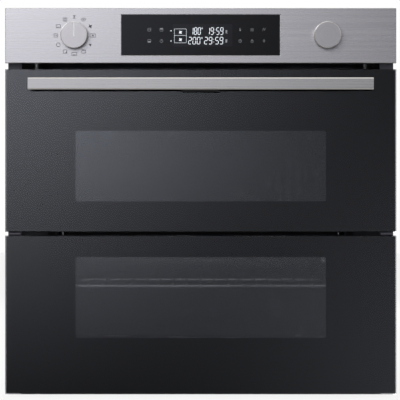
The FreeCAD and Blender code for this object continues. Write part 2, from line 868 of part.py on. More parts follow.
def make_motor(name, z):
    plate = slab(name + "_plate", (-40, 40), (MOTOR_Y - 2, MOTOR_Y), (z - 40, z + 40))
    core = slab(name + "_core", (-28, 28), (MOTOR_Y, MOTOR_Y + MOTOR_DEPTH), (z - 28, z + 28))
    coil = slab(name + "_coil", (-19, 19), (MOTOR_Y + 6, MOTOR_Y + 28), (z - 40, z - 28))
    legs = [
        round_bar(name + "_leg", "y", (u, back_y, z + v), 4, MOTOR_Y - 2 - back_y)
        for u in (-30, 30) for v in (-30, 30)
    ]
    whole = fuse(name + "_whole", [plate, core, coil, *legs])
    bore = round_bar(name + "_bore", "y", (0, MOTOR_Y - 5, z), s.shaft_radius + s.run_clear, MOTOR_DEPTH + 10)
    return cut(name, whole, [bore])


node("convection_motors", group("convection_motors", [
    make_motor("motor_low", lower_fan_z), make_motor("motor_high", upper_fan_z)]))

# ---------------------------------------------------------------- lamps and probes


def lamp_parts(side, z):
    """Housing, bulb and lens of one lamp, with the lens looking into the cavity from the side wall."""
    label = "right" if side > 0 else "left"
    depth = 22
    start = wall_x if side > 0 else -wall_x - depth
    can = round_bar(f"lamp_can_{label}", "x", (start, LAMP_Y, z), LAMP_RADIUS + 4, depth)
    hollow_start = wall_x - 1 if side > 0 else -wall_x - depth + 2
    hollow = round_bar(f"lamp_hollow_{label}", "x", (hollow_start, LAMP_Y, z), LAMP_RADIUS, depth - 1)
    housing = cut(f"lamp_housing_{label}", can, [hollow])
    bulb_length = 14
    bulb_start = wall_x + depth - 2 - bulb_length if side > 0 else -wall_x - depth + 2
    bulb = round_bar(f"lamp_bulb_{label}", "x", (bulb_start, LAMP_Y, z), 7, bulb_length)
    lens_start = cavity_x - 3 if side > 0 else -cavity_x - 4
    lens = round_bar(f"lamp_lens_{label}", "x", (lens_start, LAMP_Y, z), LAMP_RADIUS - 0.3, 7)
    return housing, bulb, lens


lamps = [lamp_parts(-1, upper_fan_z), lamp_parts(1, lower_fan_z)]
for name, pieces in zip(("lamp_housings", "lamp_bulbs", "lamp_lenses"), zip(*lamps)):
    node(name, group(name, list(pieces)))

node("temperature_probes", group("temperature_probes", [
    fuse("probe", [
        round_bar("probe_rod", "y", (PROBE_X, side_y1 + 12, z + 40), 2.5, wool_y1 - side_y1),
        round_bar("probe_collar", "y", (PROBE_X, cavity_y1 - 3, z + 40), 6, 3),
    ])
    for z in (lower_fan_z, upper_fan_z)
]))

# ---------------------------------------------------------------- racks and the divider

WIRE_BEND = 5.0
lower_shelf_z = cavity_z0 + 28
rack_support_z = s.rack_height - s.rack_rod - s.rack_wire - 0.2
divider_support_z = divider_z0 - s.rack_wire - 0.2
SHELVES = [
    (lower_shelf_z, True),
    (rack_support_z, True),
    (divider_support_z, False),
    (divider_z1 + 40, True),
    (divider_z1 + 95, True),
]
GUARD_RISE = 25


def make_side_rack():
    """Bent wires in pairs, a support and a guard at each shelf, welded to two posts."""
    wire = s.rack_wire
    pieces = [
        straight_bar((post_x, y, cavity_z0 + 14), (post_x, y, cavity_z1 - 30), wire)
        for y in (side_y0, side_y1)
    ]
    for shelf_z, guarded in SHELVES:
        for z in (shelf_z, shelf_z + GUARD_RISE)[:2 if guarded else 1]:
            path = [(post_x, side_y0, z), (support_x, side_y0, z), (support_x, side_y1, z), (post_x, side_y1, z)]
            pieces.append(bent_tube(path, WIRE_BEND, wire))
    return pieces[0].fuse(pieces[1:]).removeSplitter()


side_rack = node("side_rack_right", shaped("side_rack", make_side_rack()))
node("side_rack_left", mirrored("side_rack_other", side_rack))
studs = [
    round_bar("rack_stud", "x", (post_x + s.rack_wire, y, z), 4, cavity_x - post_x - s.rack_wire)
    for y in (side_y0, side_y1) for z in (cavity_z0 + 60, cavity_z1 - 45)
]
node("side_rack_studs", both_sides("side_rack_studs", group("rack_studs_right", studs)))

GRID_REACH = 9


def make_wire_rack():
    """A frame of thick rods, with thin wires laid across it from front to back and turned down at the front."""
    z = s.rack_height
    rod = s.rack_rod
    side = support_x + 0.5
    frame = [
        straight_bar((-side, rack_y0, z), (-side, rack_y1, z), rod),
        straight_bar((side, rack_y0, z), (side, rack_y1, z), rod),
        straight_bar((-side - rod, rack_y0, z), (side + rod, rack_y0, z), rod),
        straight_bar((-side - rod, rack_y1, z), (side + rod, rack_y1, z), rod),
    ]
    wire_z = z + rod + s.grid_wire - 0.3
    fore = rack_y0 - rod - s.grid_wire + 0.3
    for k in range(-GRID_REACH, GRID_REACH + 1):
        x = s.grid_pitch * k
        path = [(x, fore, z - rod), (x, fore, wire_z), (x, rack_y1, wire_z)]
        frame.append(bent_tube(path, 2.5, s.grid_wire))
    return frame[0].fuse(frame[1:])


node("wire_rack", shaped("wire_rack", make_wire_rack()))

divider_x = support_x + 4.5
divider_y0 = face_y1 + 4
node("divider", extruded(
    "divider", "level",
    lambda k: add_rectangle(k, (-divider_x, divider_x), (divider_y0, cavity_y1 - s.divider_back_gap)),
    s.divider_thick, divider_z0))
seal_y0 = front_y + s.door_depth + s.seal_clear
node("divider_seal", slab("divider_seal", (-divider_x, divider_x), (seal_y0, divider_y0), (divider_z0 + 2, divider_z1 - 2)))

# ---------------------------------------------------------------- control panel


def make_fascia_shell():
    outer = new_body("fascia_block")
    depth = s.front_depth - s.frame_sheet
    edge = s.fascia_sheet
    outline = new_sketch(outer, "fascia_outline", "XZ_Plane")
    add_rectangle(outline, (-half_front, half_front), (panel_z0, panel_z1))
    add_pad(outer, outline, depth, backwards=True)
    dress(outer, "Fillet", lambda a, b: abs(a.y) < 1e-6 and abs(b.y) < 1e-6, 0.8)
    openings = new_sketch(outer, "fascia_openings", "XZ_Plane")
    add_rectangle(openings, (-s.display_width / 2, s.display_width / 2), (display_z0, display_z1))
    for x in (-knob_x, knob_x):
        add_circle(openings, x, knob_z, 6)
    add_pocket(outer, openings, depth, backwards=False)
    place(outer, y=front_y)
    hollow = slab("fascia_hollow", (-half_front + edge, half_front - edge), (front_y + edge, front_y + depth + 1),
                  (panel_z0 + edge, panel_z1 - edge))
    return cut("control_fascia", outer, [hollow])


node("control_fascia", make_fascia_shell())

glass_x = s.display_width / 2 - s.display_clear
glass_y0 = front_y + 0.2
glass_y1 = glass_y0 + s.display_sheet
node("display_glass", extruded(
    "display_glass", "front",
    lambda k: add_rectangle(k, (-glass_x, glass_x), (display_z0 + s.display_clear, display_z1 - s.display_clear)),
    s.display_sheet, glass_y0))
node("display_module", slab("display_module", (-glass_x + 3, glass_x - 3), (glass_y1, plate_y0),
                            (display_z0 + 4, display_z1 - 4)))


def make_carrier():
    """A flat plate across the fascia's back with a box behind it for the boards."""
    wall = s.carrier_wall
    edge = s.fascia_sheet
    plate = slab("carrier_plate", (-half_front + edge, half_front - edge), (plate_y0, plate_y1),
                 (panel_z0 + edge, panel_z1 - edge))
    box_y1 = front_y + s.carrier_depth
    box = slab("carrier_box", (-carrier_x, carrier_x), (plate_y0, box_y1), (carrier_z0, carrier_z1))
    hollow = slab("carrier_hollow", (-carrier_x + wall, carrier_x - wall), (plate_y1, box_y1 - wall),
                  (carrier_z0 + wall, carrier_z1 - wall))
    holes = [
        round_bar("carrier_hole", "y", (x, plate_y0 - 1, knob_z), BUSH_RADIUS + 0.2, wall + 2)
        for x in (-knob_x, knob_x)
    ]
    posts = [
        round_bar("carrier_post", "y", (x, board_y1, z), 3, box_y1 - wall - board_y1)
        for x in (-board_x + 12, board_x - 12) for z in (board_z0 + 6, board_z1 - 6)
    ]
    shell = cut("carrier_shell", fuse("carrier_block", [plate, box]), [hollow, *holes])
    return fuse("panel_carrier", [shell, *posts])


BUSH_RADIUS = 5
board_x = carrier_x - 30
board_y0 = front_y + 34
board_y1 = board_y0 + 1.6
board_z0 = carrier_z0 + 7
board_z1 = carrier_z1 - 7
node("panel_carrier", make_carrier())


def make_control_board():
    sheet = slab("board_sheet", (-board_x, board_x), (board_y0, board_y1), (board_z0, board_z1))
    chips = [
        slab("board_chip", (x, x + w), (board_y0 - t, board_y0), (board_z0 + 10, board_z0 + 10 + h))
        for x, w, t, h in ((-20, 26, 2, 26), (30, 14, 2, 14), (-70, 34, 8, 14), (70, 50, 6, 10))
    ]
    return fuse("control_board", [sheet, *chips])


node("control_board", make_control_board())


def make_encoder(name, x):
    case = slab(name + "_case", (x - 13, x + 13), (plate_y1, plate_y1 + 12), (knob_z - 13, knob_z + 13))
    bush = round_bar(name + "_bush", "y", (x, front_y + 0.5, knob_z), BUSH_RADIUS, plate_y1 - front_y)
    bore = round_bar(name + "_bore", "y", (x, front_y - 1, knob_z), s.stem_radius + s.run_clear, 40)
    return cut(name, fuse(name + "_whole", [case, bush]), [bore])


node("rotary_encoders", group("rotary_encoders", [
    make_encoder("encoder_left", -knob_x), make_encoder("encoder_right", knob_x)]))


def make_knob(name, x, marked):
    """A hollow turned cap with a socket, and the stem that it turns."""
    body = new_body(name + "_cap")
    height = s.knob_height
    r1 = s.knob_radius
    r0 = r1 - s.knob_wall
    socket = s.stem_radius + s.run_clear
    section = new_sketch(body, name + "_section", "XY_Plane")
    back = -s.knob_gap
    front = back - height
    add_outline(section, [
        (0, front), (r1 - 1, front), (r1, front + 1), (r1, back), (r0, back), (r0, front + 3),
        (7, front + 3), (7, back), (socket, back), (socket, front + 8), (0, front + 8)])
    turned = body.newObject("PartDesign::Revolution", name + "_turned")
    turned.Profile = section
    turned.ReferenceAxis = (section, ["V_Axis"])
    turned.Angle = 360
    doc.recompute()
    if marked:
        groove = new_sketch(body, name + "_groove", "XZ_Plane")
        add_rectangle(groove, (-1.1, 1.1), (-3, r1 - 2))
        groove.AttachmentOffset = Placement(Vector(0, 0, 0), Rotation())
        groove.setExpression("AttachmentOffset.Base.z", (s.knob_gap + height - 0.6).formula)
        cutter = add_pad_tool(body, groove)
        body.Tip = cutter
    place(body, x, front_y, knob_z)
    stem_start = front_y + front + 8.2
    stem = round_bar(name + "_stem", "y", (x, stem_start, knob_z), s.stem_radius, plate_y1 + 11 - stem_start)
    return group(name, [body, stem])


def add_pad_tool(body, sketch):
    """A shallow pocket that runs out through the face in front of it."""
    doc.recompute()
    before = body.Tip.Shape.Volume
    pocket = body.newObject("PartDesign::Pocket", sketch.Name + "_pocket")
    pocket.Profile = sketch
    pocket.Reversed = True
    pocket.Length = 5
    doc.recompute()
    if not pocket.Shape.Volume < before - 1e-6:
        raise ValueError(f"{pocket.Name} cuts nothing")
    return pocket


node("mode_knob", make_knob("mode_knob", -knob_x, marked=True))
node("value_knob", make_knob("value_knob", knob_x, marked=False))

# ---------------------------------------------------------------- power supply


def make_power_board():
    """A board on short feet, with its relays, transformer and capacitors standing on it."""
    z0 = duct_z1 + s.casing_sheet
    y0 = front_y + 120
    feet = [round_bar("board_foot", "z", (x, y, z0), 3, 6) for x in (-190, -60) for y in (y0 + 8, y0 + 112)]
    sheet = slab("power_sheet", (-200, -50), (y0, y0 + 120), (z0 + 6, z0 + 7.6))
    parts = [
        slab("power_part", (x, x + w), (y0 + y, y0 + y + d), (z0 + 7.6, z0 + 7.6 + h))
        for x, y, w, d, h in ((-185, 60, 45, 40, 34), (-130, 70, 22, 26, 18), (-100, 70, 22, 26, 18),
                              (-130, 20, 16, 30, 16), (-90, 16, 24, 30, 22))
    ]
    cans = [round_bar("power_can", "z", (x, y0 + 30, z0 + 7.6), 8, 24) for x in (-176, -154)]
    return fuse("power_board", [sheet, *feet, *parts, *cans])


node("power_board", make_power_board())


def make_terminal_block():
    y1 = rear_y - s.casing_sheet
    z = CABLE_Z + 24
    block = slab("terminal_body", (CABLE_X - 26, CABLE_X + 26), (y1 - 24, y1), (z, z + 34))
    wells = [
        round_bar("terminal_well", "y", (CABLE_X + step, y1 - 30, z + 22), 4.5, 20) for step in (-16, 0, 16)
    ]
    return cut("terminal_block", block, wells)


node("terminal_block", make_terminal_block())

# ---------------------------------------------------------------- cooling air


def make_duct():
    """A floor, side rails and back rails that guide the air forward over the front frame, and a flat lid."""
    sheet = s.casing_sheet
    inner_z = duct_z0 + sheet
    floor = slab("duct_floor", (-duct_x, duct_x), (face_y0, duct_y1), (duct_z0, inner_z))
    flue = round_bar("duct_flue_hole", "z", (flue_x, flue_y, duct_z0 - 2), FLUE_BORE, 5)
    wall = slab("duct_wall", (duct_x - sheet, duct_x), (face_y0, duct_y1), (inner_z, duct_z1))
    back = slab("duct_back", (s.blower_half - 4, duct_x - sheet), (duct_y1 - sheet, duct_y1), (inner_z, duct_z1))
    lid = slab("duct_lid", (-duct_x, duct_x), (front_y + s.carrier_depth + 1, duct_y1), (duct_z1, duct_z1 + sheet))
    return group("air_duct", [cut("duct_tray", floor, [flue]), wall, mirrored("duct_wall_left", wall), back,
                              mirrored("duct_back_left", back), lid])


node("air_duct", make_duct())


def make_blower_housing():
    """Sheets that meet at the corners: floor, slotted lid, back, a front around the mouth, and two end plates."""
    wall = s.blower_wall
    half = s.blower_half
    mouth_z0, mouth_z1 = duct_z0 + s.casing_sheet, duct_z1
    across = (-half, half)
    deep = (duct_y1, blower_y1)
    floor = slab("blower_floor", across, deep, (blower_z0, blower_z0 + wall))
    lid = slab("blower_lid", across, deep, (blower_z1 - wall, blower_z1))
    vents = [
        slab("blower_vent", (x, x + 18), (blower_y - 26, blower_y + 26), (blower_z1 - 5, blower_z1 + 5))
        for x in range(-135, 126, 29)
    ]
    tall = (blower_z0 + wall, blower_z1 - wall)
    back = slab("blower_back", across, (blower_y1 - wall, blower_y1), tall)
    front = slab("blower_front", across, (duct_y1, duct_y1 + wall), (mouth_z1, blower_z1 - wall))
    sill = slab("blower_sill", across, (duct_y1, duct_y1 + wall), (blower_z0 + wall, mouth_z0))
    cheek = slab("blower_cheek", (half - 4, half), (duct_y1, duct_y1 + wall), (mouth_z0, mouth_z1))
    end = slab("blower_end", (half - wall, half), (duct_y1 + wall, blower_y1 - wall), tall)
    bore = round_bar("blower_bore", "x", (half - wall - 1, blower_y, blower_z), s.stem_radius + s.run_clear, wall + 2)
    end = cut("blower_end_plate", end, [bore])
    return group("blower_housing", [floor, cut("blower_slotted_lid", lid, vents), back, front, sill, cheek,
                                    mirrored("blower_cheek_left", cheek), end, mirrored("blower_end_left", end)])


node("blower_housing", make_blower_housing())


def make_blower_rotor():
    """A long drum of curved blades between end discs, on one shaft."""
    body = new_body("blower_drum")
    length = 2 * s.blower_half - 20
    disc = new_sketch(body, "blower_disc", "YZ_Plane")
    add_circle(disc, 0, 0, s.blower_radius)
    add_circle(disc, 0, 0, s.stem_radius)
    add_pad(body, disc, 2)
    doc.recompute()
    blade = new_sketch(body, "blower_blade", "YZ_Plane")
    r = s.blower_radius
    add_outline(blade, [(-0.5, r - 9), (0.5, r - 9), (3.4, r - 1), (2.4, r - 1)])
    pad = add_pad(body, blade, length)
    doc.recompute()
    add_repeat(body, pad, blade, "Polar", 18, 360)
    place(body, -length / 2, blower_y, blower_z)
    far_disc = round_bar("blower_far_disc", "x", (length / 2 - 2, blower_y, blower_z), s.blower_radius, 2)
    shaft = round_bar("blower_shaft", "x", (-s.blower_half - 6, blower_y, blower_z), s.stem_radius,
                      2 * s.blower_half + 34)
    return fuse("blower_rotor", [body, far_disc, shaft])


node("blower_rotor", make_blower_rotor())
motor_block = slab("blower_motor_block", (s.blower_half, s.blower_half + 38), (blower_y - 27, blower_y + 27),
                   (blower_z - 27, blower_z + 27))
motor_bore = round_bar("blower_motor_bore", "x", (s.blower_half - 1, blower_y, blower_z), s.stem_radius + s.run_clear, 31)
node("blower_motor", cut("blower_motor", motor_block, [motor_bore]))

flue_z0 = cavity_z1 + s.cavity_sheet
flue_tube = round_bar("flue_tube", "z", (flue_x, flue_y, flue_z0), FLUE_RADIUS, duct_z0 - flue_z0)
flue_bore = round_bar("flue_bore", "z", (flue_x, flue_y, flue_z0 - 1), FLUE_BORE, duct_z0 - flue_z0 + 2)
node("steam_flue", cut("steam_flue", flue_tube, [flue_bore]))

# ---------------------------------------------------------------- main hinges

ARM_LENGTH = 82
RECEIVER_DEPTH = 62


def make_hinge_arm():
    half = s.arm_thick / 2
    x = (hinge_x - half, hinge_x + half)
    eye = round_bar("arm_eye", "x", (x[0], hinge_y, hinge_z), s.hinge_pin + 4, s.arm_thick)
    bar = slab("arm_bar", x, (hinge_y, hinge_y + ARM_LENGTH), (hinge_z - s.arm_half_height, hinge_z + s.arm_half_height))
    bore = round_bar("arm_bore", "x", (x[0] - 1, hinge_y, hinge_z), s.hinge_pin + s.run_clear, s.arm_thick + 2)
    return cut("hinge_arm", fuse("arm_whole", [eye, bar]), [bore])


def make_receiver():
    half = s.arm_thick / 2
    block = slab("receiver_block", (hinge_x - 8, hinge_x + 8), (toe_y1, toe_y1 + RECEIVER_DEPTH),
                 (s.casing_sheet, s.sill_height - s.frame_sheet - 0.5))
    slot = slab("receiver_slot", (hinge_x - half, hinge_x + half), (toe_y1 - 1, hinge_y + ARM_LENGTH),
                (hinge_z - s.arm_half_height, hinge_z + s.arm_half_height))
    return cut("receiver", block, [slot])


def make_hinge_bracket():
    """A channel in the foot of the door's stile, whose ears hold the hinge pin."""
    gap = s.arm_thick / 2 + 0.3
    ear = 2
    foot = hinge_z - 10
    head = s.lower_stile_foot + 50
    web = slab("bracket_web", (hinge_x - gap - ear, hinge_x + gap + ear), (stile_y0, stile_y0 + s.door_sheet), (foot, head))
    ears = [
        slab("bracket_ear", (hinge_x + a, hinge_x + b), (stile_y0, stile_y1 - s.door_sheet), (foot, head))
        for a, b in ((-gap - ear, -gap), (gap, gap + ear))
    ]
    pin = round_bar("bracket_pin", "x", (hinge_x - gap - ear, hinge_y, hinge_z), s.hinge_pin, 2 * (gap + ear))
    return fuse("hinge_bracket", [web, *ears, pin])


node("door_hinge_arms", both_sides("door_hinge_arms", make_hinge_arm()))
node("hinge_receivers", both_sides("hinge_receivers", make_receiver()))
node("door_hinge_brackets", both_sides("door_hinge_brackets", make_hinge_bracket()))

# ---------------------------------------------------------------- doors


def make_outer_glass(name, z0, z1, post_holes):
    """A pane the full width of the front, its front edges bevelled."""
    body = new_body(name)
    pane = new_sketch(body, name + "_pane", "XZ_Plane")
    add_rectangle(pane, (-half_front, half_front), (z0, z1))
    if post_holes:
        for x in (-post_mid_x, post_mid_x):
            add_circle(pane, x, bar_z, 3.2)
    add_pad(body, pane, s.glass, backwards=True)
    dress(body, "Chamfer", lambda a, b: abs(a.y) < 1e-6 and abs(b.y) < 1e-6, s.glass_bevel)
    return place(body, y=front_y)


def make_door_frame(name, z0, z1, top_rail, bottom_rail, rod_hole):
    """Two channel stiles, two channel rails and two flat end trims, each a solid of its own."""
    sheet = s.door_sheet
    trim = s.trim
    hole = s.rod_radius + rod_hole
    span = (z0 + trim, z1 - trim)

    def draw_stile(sketch):
        x0, x1 = stile_x0, stile_x1
        add_outline(sketch, [
            (x0, stile_y0), (x0 + sheet, stile_y0), (x0 + sheet, stile_y1 - sheet), (x1 - sheet, stile_y1 - sheet),
            (x1 - sheet, stile_y0), (x1, stile_y0), (x1, stile_y1), (x0, stile_y1)])

    stile = extruded(name + "_stile", "level", draw_stile, span[1] - span[0], span[0])

    def rail(label, low, high):
        block = slab(f"{name}_{label}_block", (-stile_x0, stile_x0), (stile_y0, stile_y1), (low, high))
        hollow = slab(f"{name}_{label}_hollow", (-stile_x0 - 1, stile_x0 + 1), (stile_y0 + sheet, stile_y1 - sheet),
                      (low + sheet, high - sheet))
        return cut(f"{name}_{label}", block, [hollow])

    def strip(label, low):
        bar = slab(f"{name}_{label}_bar", (-stile_x1, stile_x1), (stile_y0, stile_y1), (low, low + trim))
        holes = [
            round_bar(f"{name}_{label}_hole", "z", (x, rod_y, low - 1), hole, trim + 2) for x in (-rod_x, rod_x)
        ]
        return cut(f"{name}_{label}", bar, holes)

    pieces = [stile, mirrored(name + "_stile_left", stile)]
    pieces.append(rail("top_rail", z1 - trim - top_rail, z1 - trim))
    pieces.append(rail("bottom_rail", z0 + trim, z0 + trim + bottom_rail))
    pieces.append(strip("head_trim", z1 - trim))
    if rod_hole < 0.5:
        pieces.append(strip("foot_trim", z0))
    return group(name, pieces)


def make_pane(name, x, z, y0, thick):
    return extruded(name, "front", lambda k: add_rectangle(k, (-x, x), z), thick, y0)


rod_x = (stile_x0 + stile_x1) / 2 + 8
rod_y = (stile_y0 + stile_y1) / 2 + 2
LOWER_TOP_RAIL = 20
LOWER_BOTTOM_RAIL = 16
UPPER_TOP_RAIL = 30
UPPER_BOTTOM_RAIL = 18
lower_frame_z0 = s.lower_stile_foot - s.trim
node("lower_outer_glass", make_outer_glass("lower_outer_glass", lower_z0, lower_z1, post_holes=False))
node("lower_door_frame", make_door_frame("lower_door_frame", lower_frame_z0, lower_z1, LOWER_TOP_RAIL,
                                         LOWER_BOTTOM_RAIL, 1.0))
node("lower_middle_glass", make_pane(
    "lower_middle_glass", stile_x0,
    (s.lower_stile_foot + LOWER_BOTTOM_RAIL, lower_z1 - s.trim - LOWER_TOP_RAIL), middle_y0, s.middle_glass))
node("lower_inner_glass", make_pane(
    "lower_inner_glass", inner_x, (s.lower_stile_foot + 6, lower_z1 - 3), stile_y1, s.glass))
node("upper_outer_glass", make_outer_glass("upper_outer_glass", upper_z0, upper_z1, post_holes=True))
node("upper_door_frame", make_door_frame("upper_door_frame", upper_z0, upper_z1, UPPER_TOP_RAIL,
                                         UPPER_BOTTOM_RAIL, 0.1))
node("upper_middle_glass", make_pane(
    "upper_middle_glass", stile_x0,
    (upper_z0 + s.trim + UPPER_BOTTOM_RAIL, upper_z1 - s.trim - UPPER_TOP_RAIL), middle_y0, s.middle_glass))
node("upper_inner_glass", make_pane(
    "upper_inner_glass", inner_x, (upper_z0 + 3, upper_z1 - 28), stile_y1, s.glass))

# ---------------------------------------------------------------- hinges between the two doors

LEAF = 36


def knuckle_leaf(name, x0, x1, up):
    """A leaf behind the glass with a strip that runs out to the knuckle in the gap."""
    sign = 1 if up else -1
    edge = upper_z0 if up else lower_z1
    back = knuckle_y + s.knuckle_radius
    ends = (edge + sign * 4, edge + sign * (4 + LEAF))
    leaf = slab(name + "_leaf", (stile_x1, knuckle_x1), (stile_y0, stile_y0 + 2), (ends[0], ends[1]) if up else (ends[1], ends[0]))
    reach = (split_z, edge + 5) if up else (edge - 5, split_z)
    strip = slab(name + "_strip", (x0, x1), (stile_y0, back), reach)
    barrel = round_bar(name + "_barrel", "x", (x0, knuckle_y, split_z), s.knuckle_radius, x1 - x0)
    return leaf, strip, barrel


def make_split_hinge_lower():
    """The outer two knuckles and the pin, carried by the lower door."""
    third = s.knuckle_length / 3
    leaf, strip, barrel = knuckle_leaf("lower_knuckle_in", knuckle_x0, knuckle_x0 + third - 0.2, up=False)
    _, strip_out, barrel_out = knuckle_leaf("lower_knuckle_out", knuckle_x1 - third + 0.2, knuckle_x1, up=False)
    pin = round_bar("split_pin", "x", (knuckle_x0, knuckle_y, split_z), s.knuckle_pin, s.knuckle_length)
    return fuse("split_hinge_lower", [leaf, strip, barrel, strip_out, barrel_out, pin])


def make_split_hinge_upper():
    """The middle knuckle, carried by the upper door, with its bore running on the pin."""
    third = s.knuckle_length / 3
    x0 = knuckle_x0 + third
    leaf, strip, barrel = knuckle_leaf("upper_knuckle", x0, x0 + third, up=True)
    bore = round_bar("upper_knuckle_bore", "x", (x0 - 1, knuckle_y, split_z), s.knuckle_pin + s.run_clear, third + 2)
    return cut("split_hinge_upper", fuse("split_hinge_upper_whole", [leaf, strip, barrel]), [bore])


node("split_hinges_lower", both_sides("split_hinges_lower", make_split_hinge_lower()))
node("split_hinges_upper", both_sides("split_hinges_upper", make_split_hinge_upper()))

# ---------------------------------------------------------------- handle and latch

LUG = 3
LEVER_BARREL = 3


def make_handle_bar():
    """A flat bar with bevelled edges, and two lugs behind it that hold the lever's pin."""
    body = new_body("handle_profile")
    half = s.handle_height / 2
    section = new_sketch(body, "handle_section", "YZ_Plane")
    bevel = s.handle_bevel
    add_outline(section, [
        (bar_y0 + bevel, bar_z - half), (bar_y1, bar_z - half), (bar_y1, bar_z + half), (bar_y0 + bevel, bar_z + half),
        (bar_y0, bar_z + half - bevel), (bar_y0, bar_z - half + bevel)])
    add_pad(body, section, 2 * bar_x)
    place(body, x=-bar_x)
    lug_x = s.lever_half + 1
    lug = slab("lever_lug", (lug_x, lug_x + LUG), (bar_y1, lever_y + 3), (lever_z - 3, lever_z + 3))
    pin = round_bar("lever_pin", "x", (-lug_x - LUG, lever_y, lever_z), 1.5, 2 * (lug_x + LUG))
    return fuse("handle_bar", [body, lug, mirrored("lever_lug_left", lug), pin])


node("handle_bar", make_handle_bar())


def make_handle_post():
    """A stand-off between the bar and the glass, rounded along its length, with a screw's blind hole."""
    body = new_body("handle_post")
    half_x = s.post_width / 2
    half_z = s.handle_height / 2 - 1.5
    outline = new_sketch(body, "post_outline", "XZ_Plane")
    add_rectangle(outline, (-half_x, half_x), (-half_z, half_z))
    add_pad(body, outline, front_y - bar_y1, backwards=True)
    dress(body, "Fillet", runs_along("y"), 3)
    hole = new_sketch(body, "post_screw_hole", "XZ_Plane")
    add_circle(hole, 0, 0, 2)
    add_pocket(body, hole, 40, backwards=False)
    return place(body, post_mid_x, bar_y1, bar_z)


node("handle_posts", both_sides("handle_posts", make_handle_post()))


def make_lever():
    """A paddle hung from the pin behind the bar, its lower lip just below the bar."""
    half = s.lever_half
    barrel = round_bar("lever_barrel", "x", (-half, lever_y, lever_z), LEVER_BARREL, 2 * half)
    low = bar_z - s.handle_height / 2 - 2.5
    blade = slab("lever_blade", (-half, half), (lever_y - 0.5, lever_y + 3), (low, lever_z))
    lip = slab("lever_lip", (-half, half), (lever_y - 0.5, lever_y + 8), (low, low + 2.5))
    bore = round_bar("lever_bore", "x", (-half - 1, lever_y, lever_z), 1.5 + s.run_clear, 2 * half + 2)
    return cut("handle_lever", fuse("lever_whole", [barrel, blade, lip]), [bore])


node("handle_lever", make_lever())
rod_z0 = upper_z0 + 0.4
rod_z1 = upper_z1 - 60
node("latch_rods", both_sides(
    "latch_rods", round_bar("latch_rod", "z", (rod_x, rod_y, rod_z0), s.rod_radius, rod_z1 - rod_z0)))

# ---------------------------------------------------------------- check and write

doc.recompute()
for thing in doc.Objects:
    if "Invalid" in thing.State or "Error" in thing.State:
        raise ValueError(f"{thing.Name} ({thing.Label}) failed: {thing.State}")
os.makedirs("parts", exist_ok=True)
for name, piece in NODES.items():
    shape = piece.Shape
    if shape.isNull() or not shape.isValid() or not shape.Solids:
        raise ValueError(f"{name} is not a valid solid")
    shape.exportStep(f"parts/{name}.step")
print(len(NODES), "nodes written")
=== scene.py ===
# %% [markdown]
# # A built-in wall oven with a split door
# The oven's working pieces come packed as one fixed frame: sheet-metal casing, cavity, doors, hinges, racks,
# fans and control panel, each with its place already in its mesh. This lesson dresses them. It gives every
# piece a finish made of shader nodes, adds the printed and lit details that are too thin for the working
# model, and lights the result like a catalogue picture. The overall box is kept at the start and printed
# again at the end beside the new one, because finishes must not change the oven's size.

# %% Load the frame
import math
import bpy
import numpy as np
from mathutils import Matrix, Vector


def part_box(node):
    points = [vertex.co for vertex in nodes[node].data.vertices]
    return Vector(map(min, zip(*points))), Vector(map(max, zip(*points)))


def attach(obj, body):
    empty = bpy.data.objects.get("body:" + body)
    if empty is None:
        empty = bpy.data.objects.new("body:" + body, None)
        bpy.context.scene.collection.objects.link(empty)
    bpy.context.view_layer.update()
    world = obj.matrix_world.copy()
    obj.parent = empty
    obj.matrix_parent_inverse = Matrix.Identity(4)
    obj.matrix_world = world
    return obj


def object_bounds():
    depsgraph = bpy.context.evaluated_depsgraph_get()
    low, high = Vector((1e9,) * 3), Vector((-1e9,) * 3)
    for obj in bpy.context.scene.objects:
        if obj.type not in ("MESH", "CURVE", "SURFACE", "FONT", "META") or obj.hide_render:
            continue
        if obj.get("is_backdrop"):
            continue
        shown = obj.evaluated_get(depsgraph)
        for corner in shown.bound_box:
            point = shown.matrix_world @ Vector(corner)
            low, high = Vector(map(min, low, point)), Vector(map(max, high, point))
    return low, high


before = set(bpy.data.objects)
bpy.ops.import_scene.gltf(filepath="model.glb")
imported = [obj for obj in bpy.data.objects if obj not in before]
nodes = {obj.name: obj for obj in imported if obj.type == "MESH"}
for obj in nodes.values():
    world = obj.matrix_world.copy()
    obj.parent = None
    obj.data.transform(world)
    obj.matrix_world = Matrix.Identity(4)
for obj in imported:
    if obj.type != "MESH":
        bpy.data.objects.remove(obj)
cad_low, cad_high = (list(corner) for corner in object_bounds())
print(len(nodes), "nodes; the oven's box in metres:", cad_low, cad_high)

# %% [markdown]
# ## Measuring from the frame
# Every new piece lies on a piece of the frame, so its place is read from that piece's box. All lengths below
# are in metres, and `mm` turns a drawing size into metres.

# %% Places that later cells use
mm = 0.001
panel_low, panel_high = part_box("control_fascia")
display_low, display_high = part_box("display_glass")
front_y = panel_low.y
display_x = (display_low.x + display_high.x) / 2
display_z = (display_low.z + display_high.z) / 2
knob_low, knob_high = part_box("mode_knob")
knob_x = (knob_low.x + knob_high.x) / 2
knob_z = (knob_low.z + knob_high.z) / 2
upper_low, upper_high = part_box("upper_outer_glass")
lower_low, lower_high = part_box("lower_outer_glass")
print("front face at y =", round(front_y, 4), "knob centre", round(knob_x, 4), round(knob_z, 4))

# %% [markdown]
# ## Surfaces from grids
# Printed lines, glass prints and lit digits are all thin bodies with a front, a back and edges. Each is made as
# a grid: one parameter runs along the outline, the other runs round a small closed section. Filling two arrays,
# corners and faces, and handing them to the mesh in one call is much faster than adding points one by one,
# and every shape stays a formula.

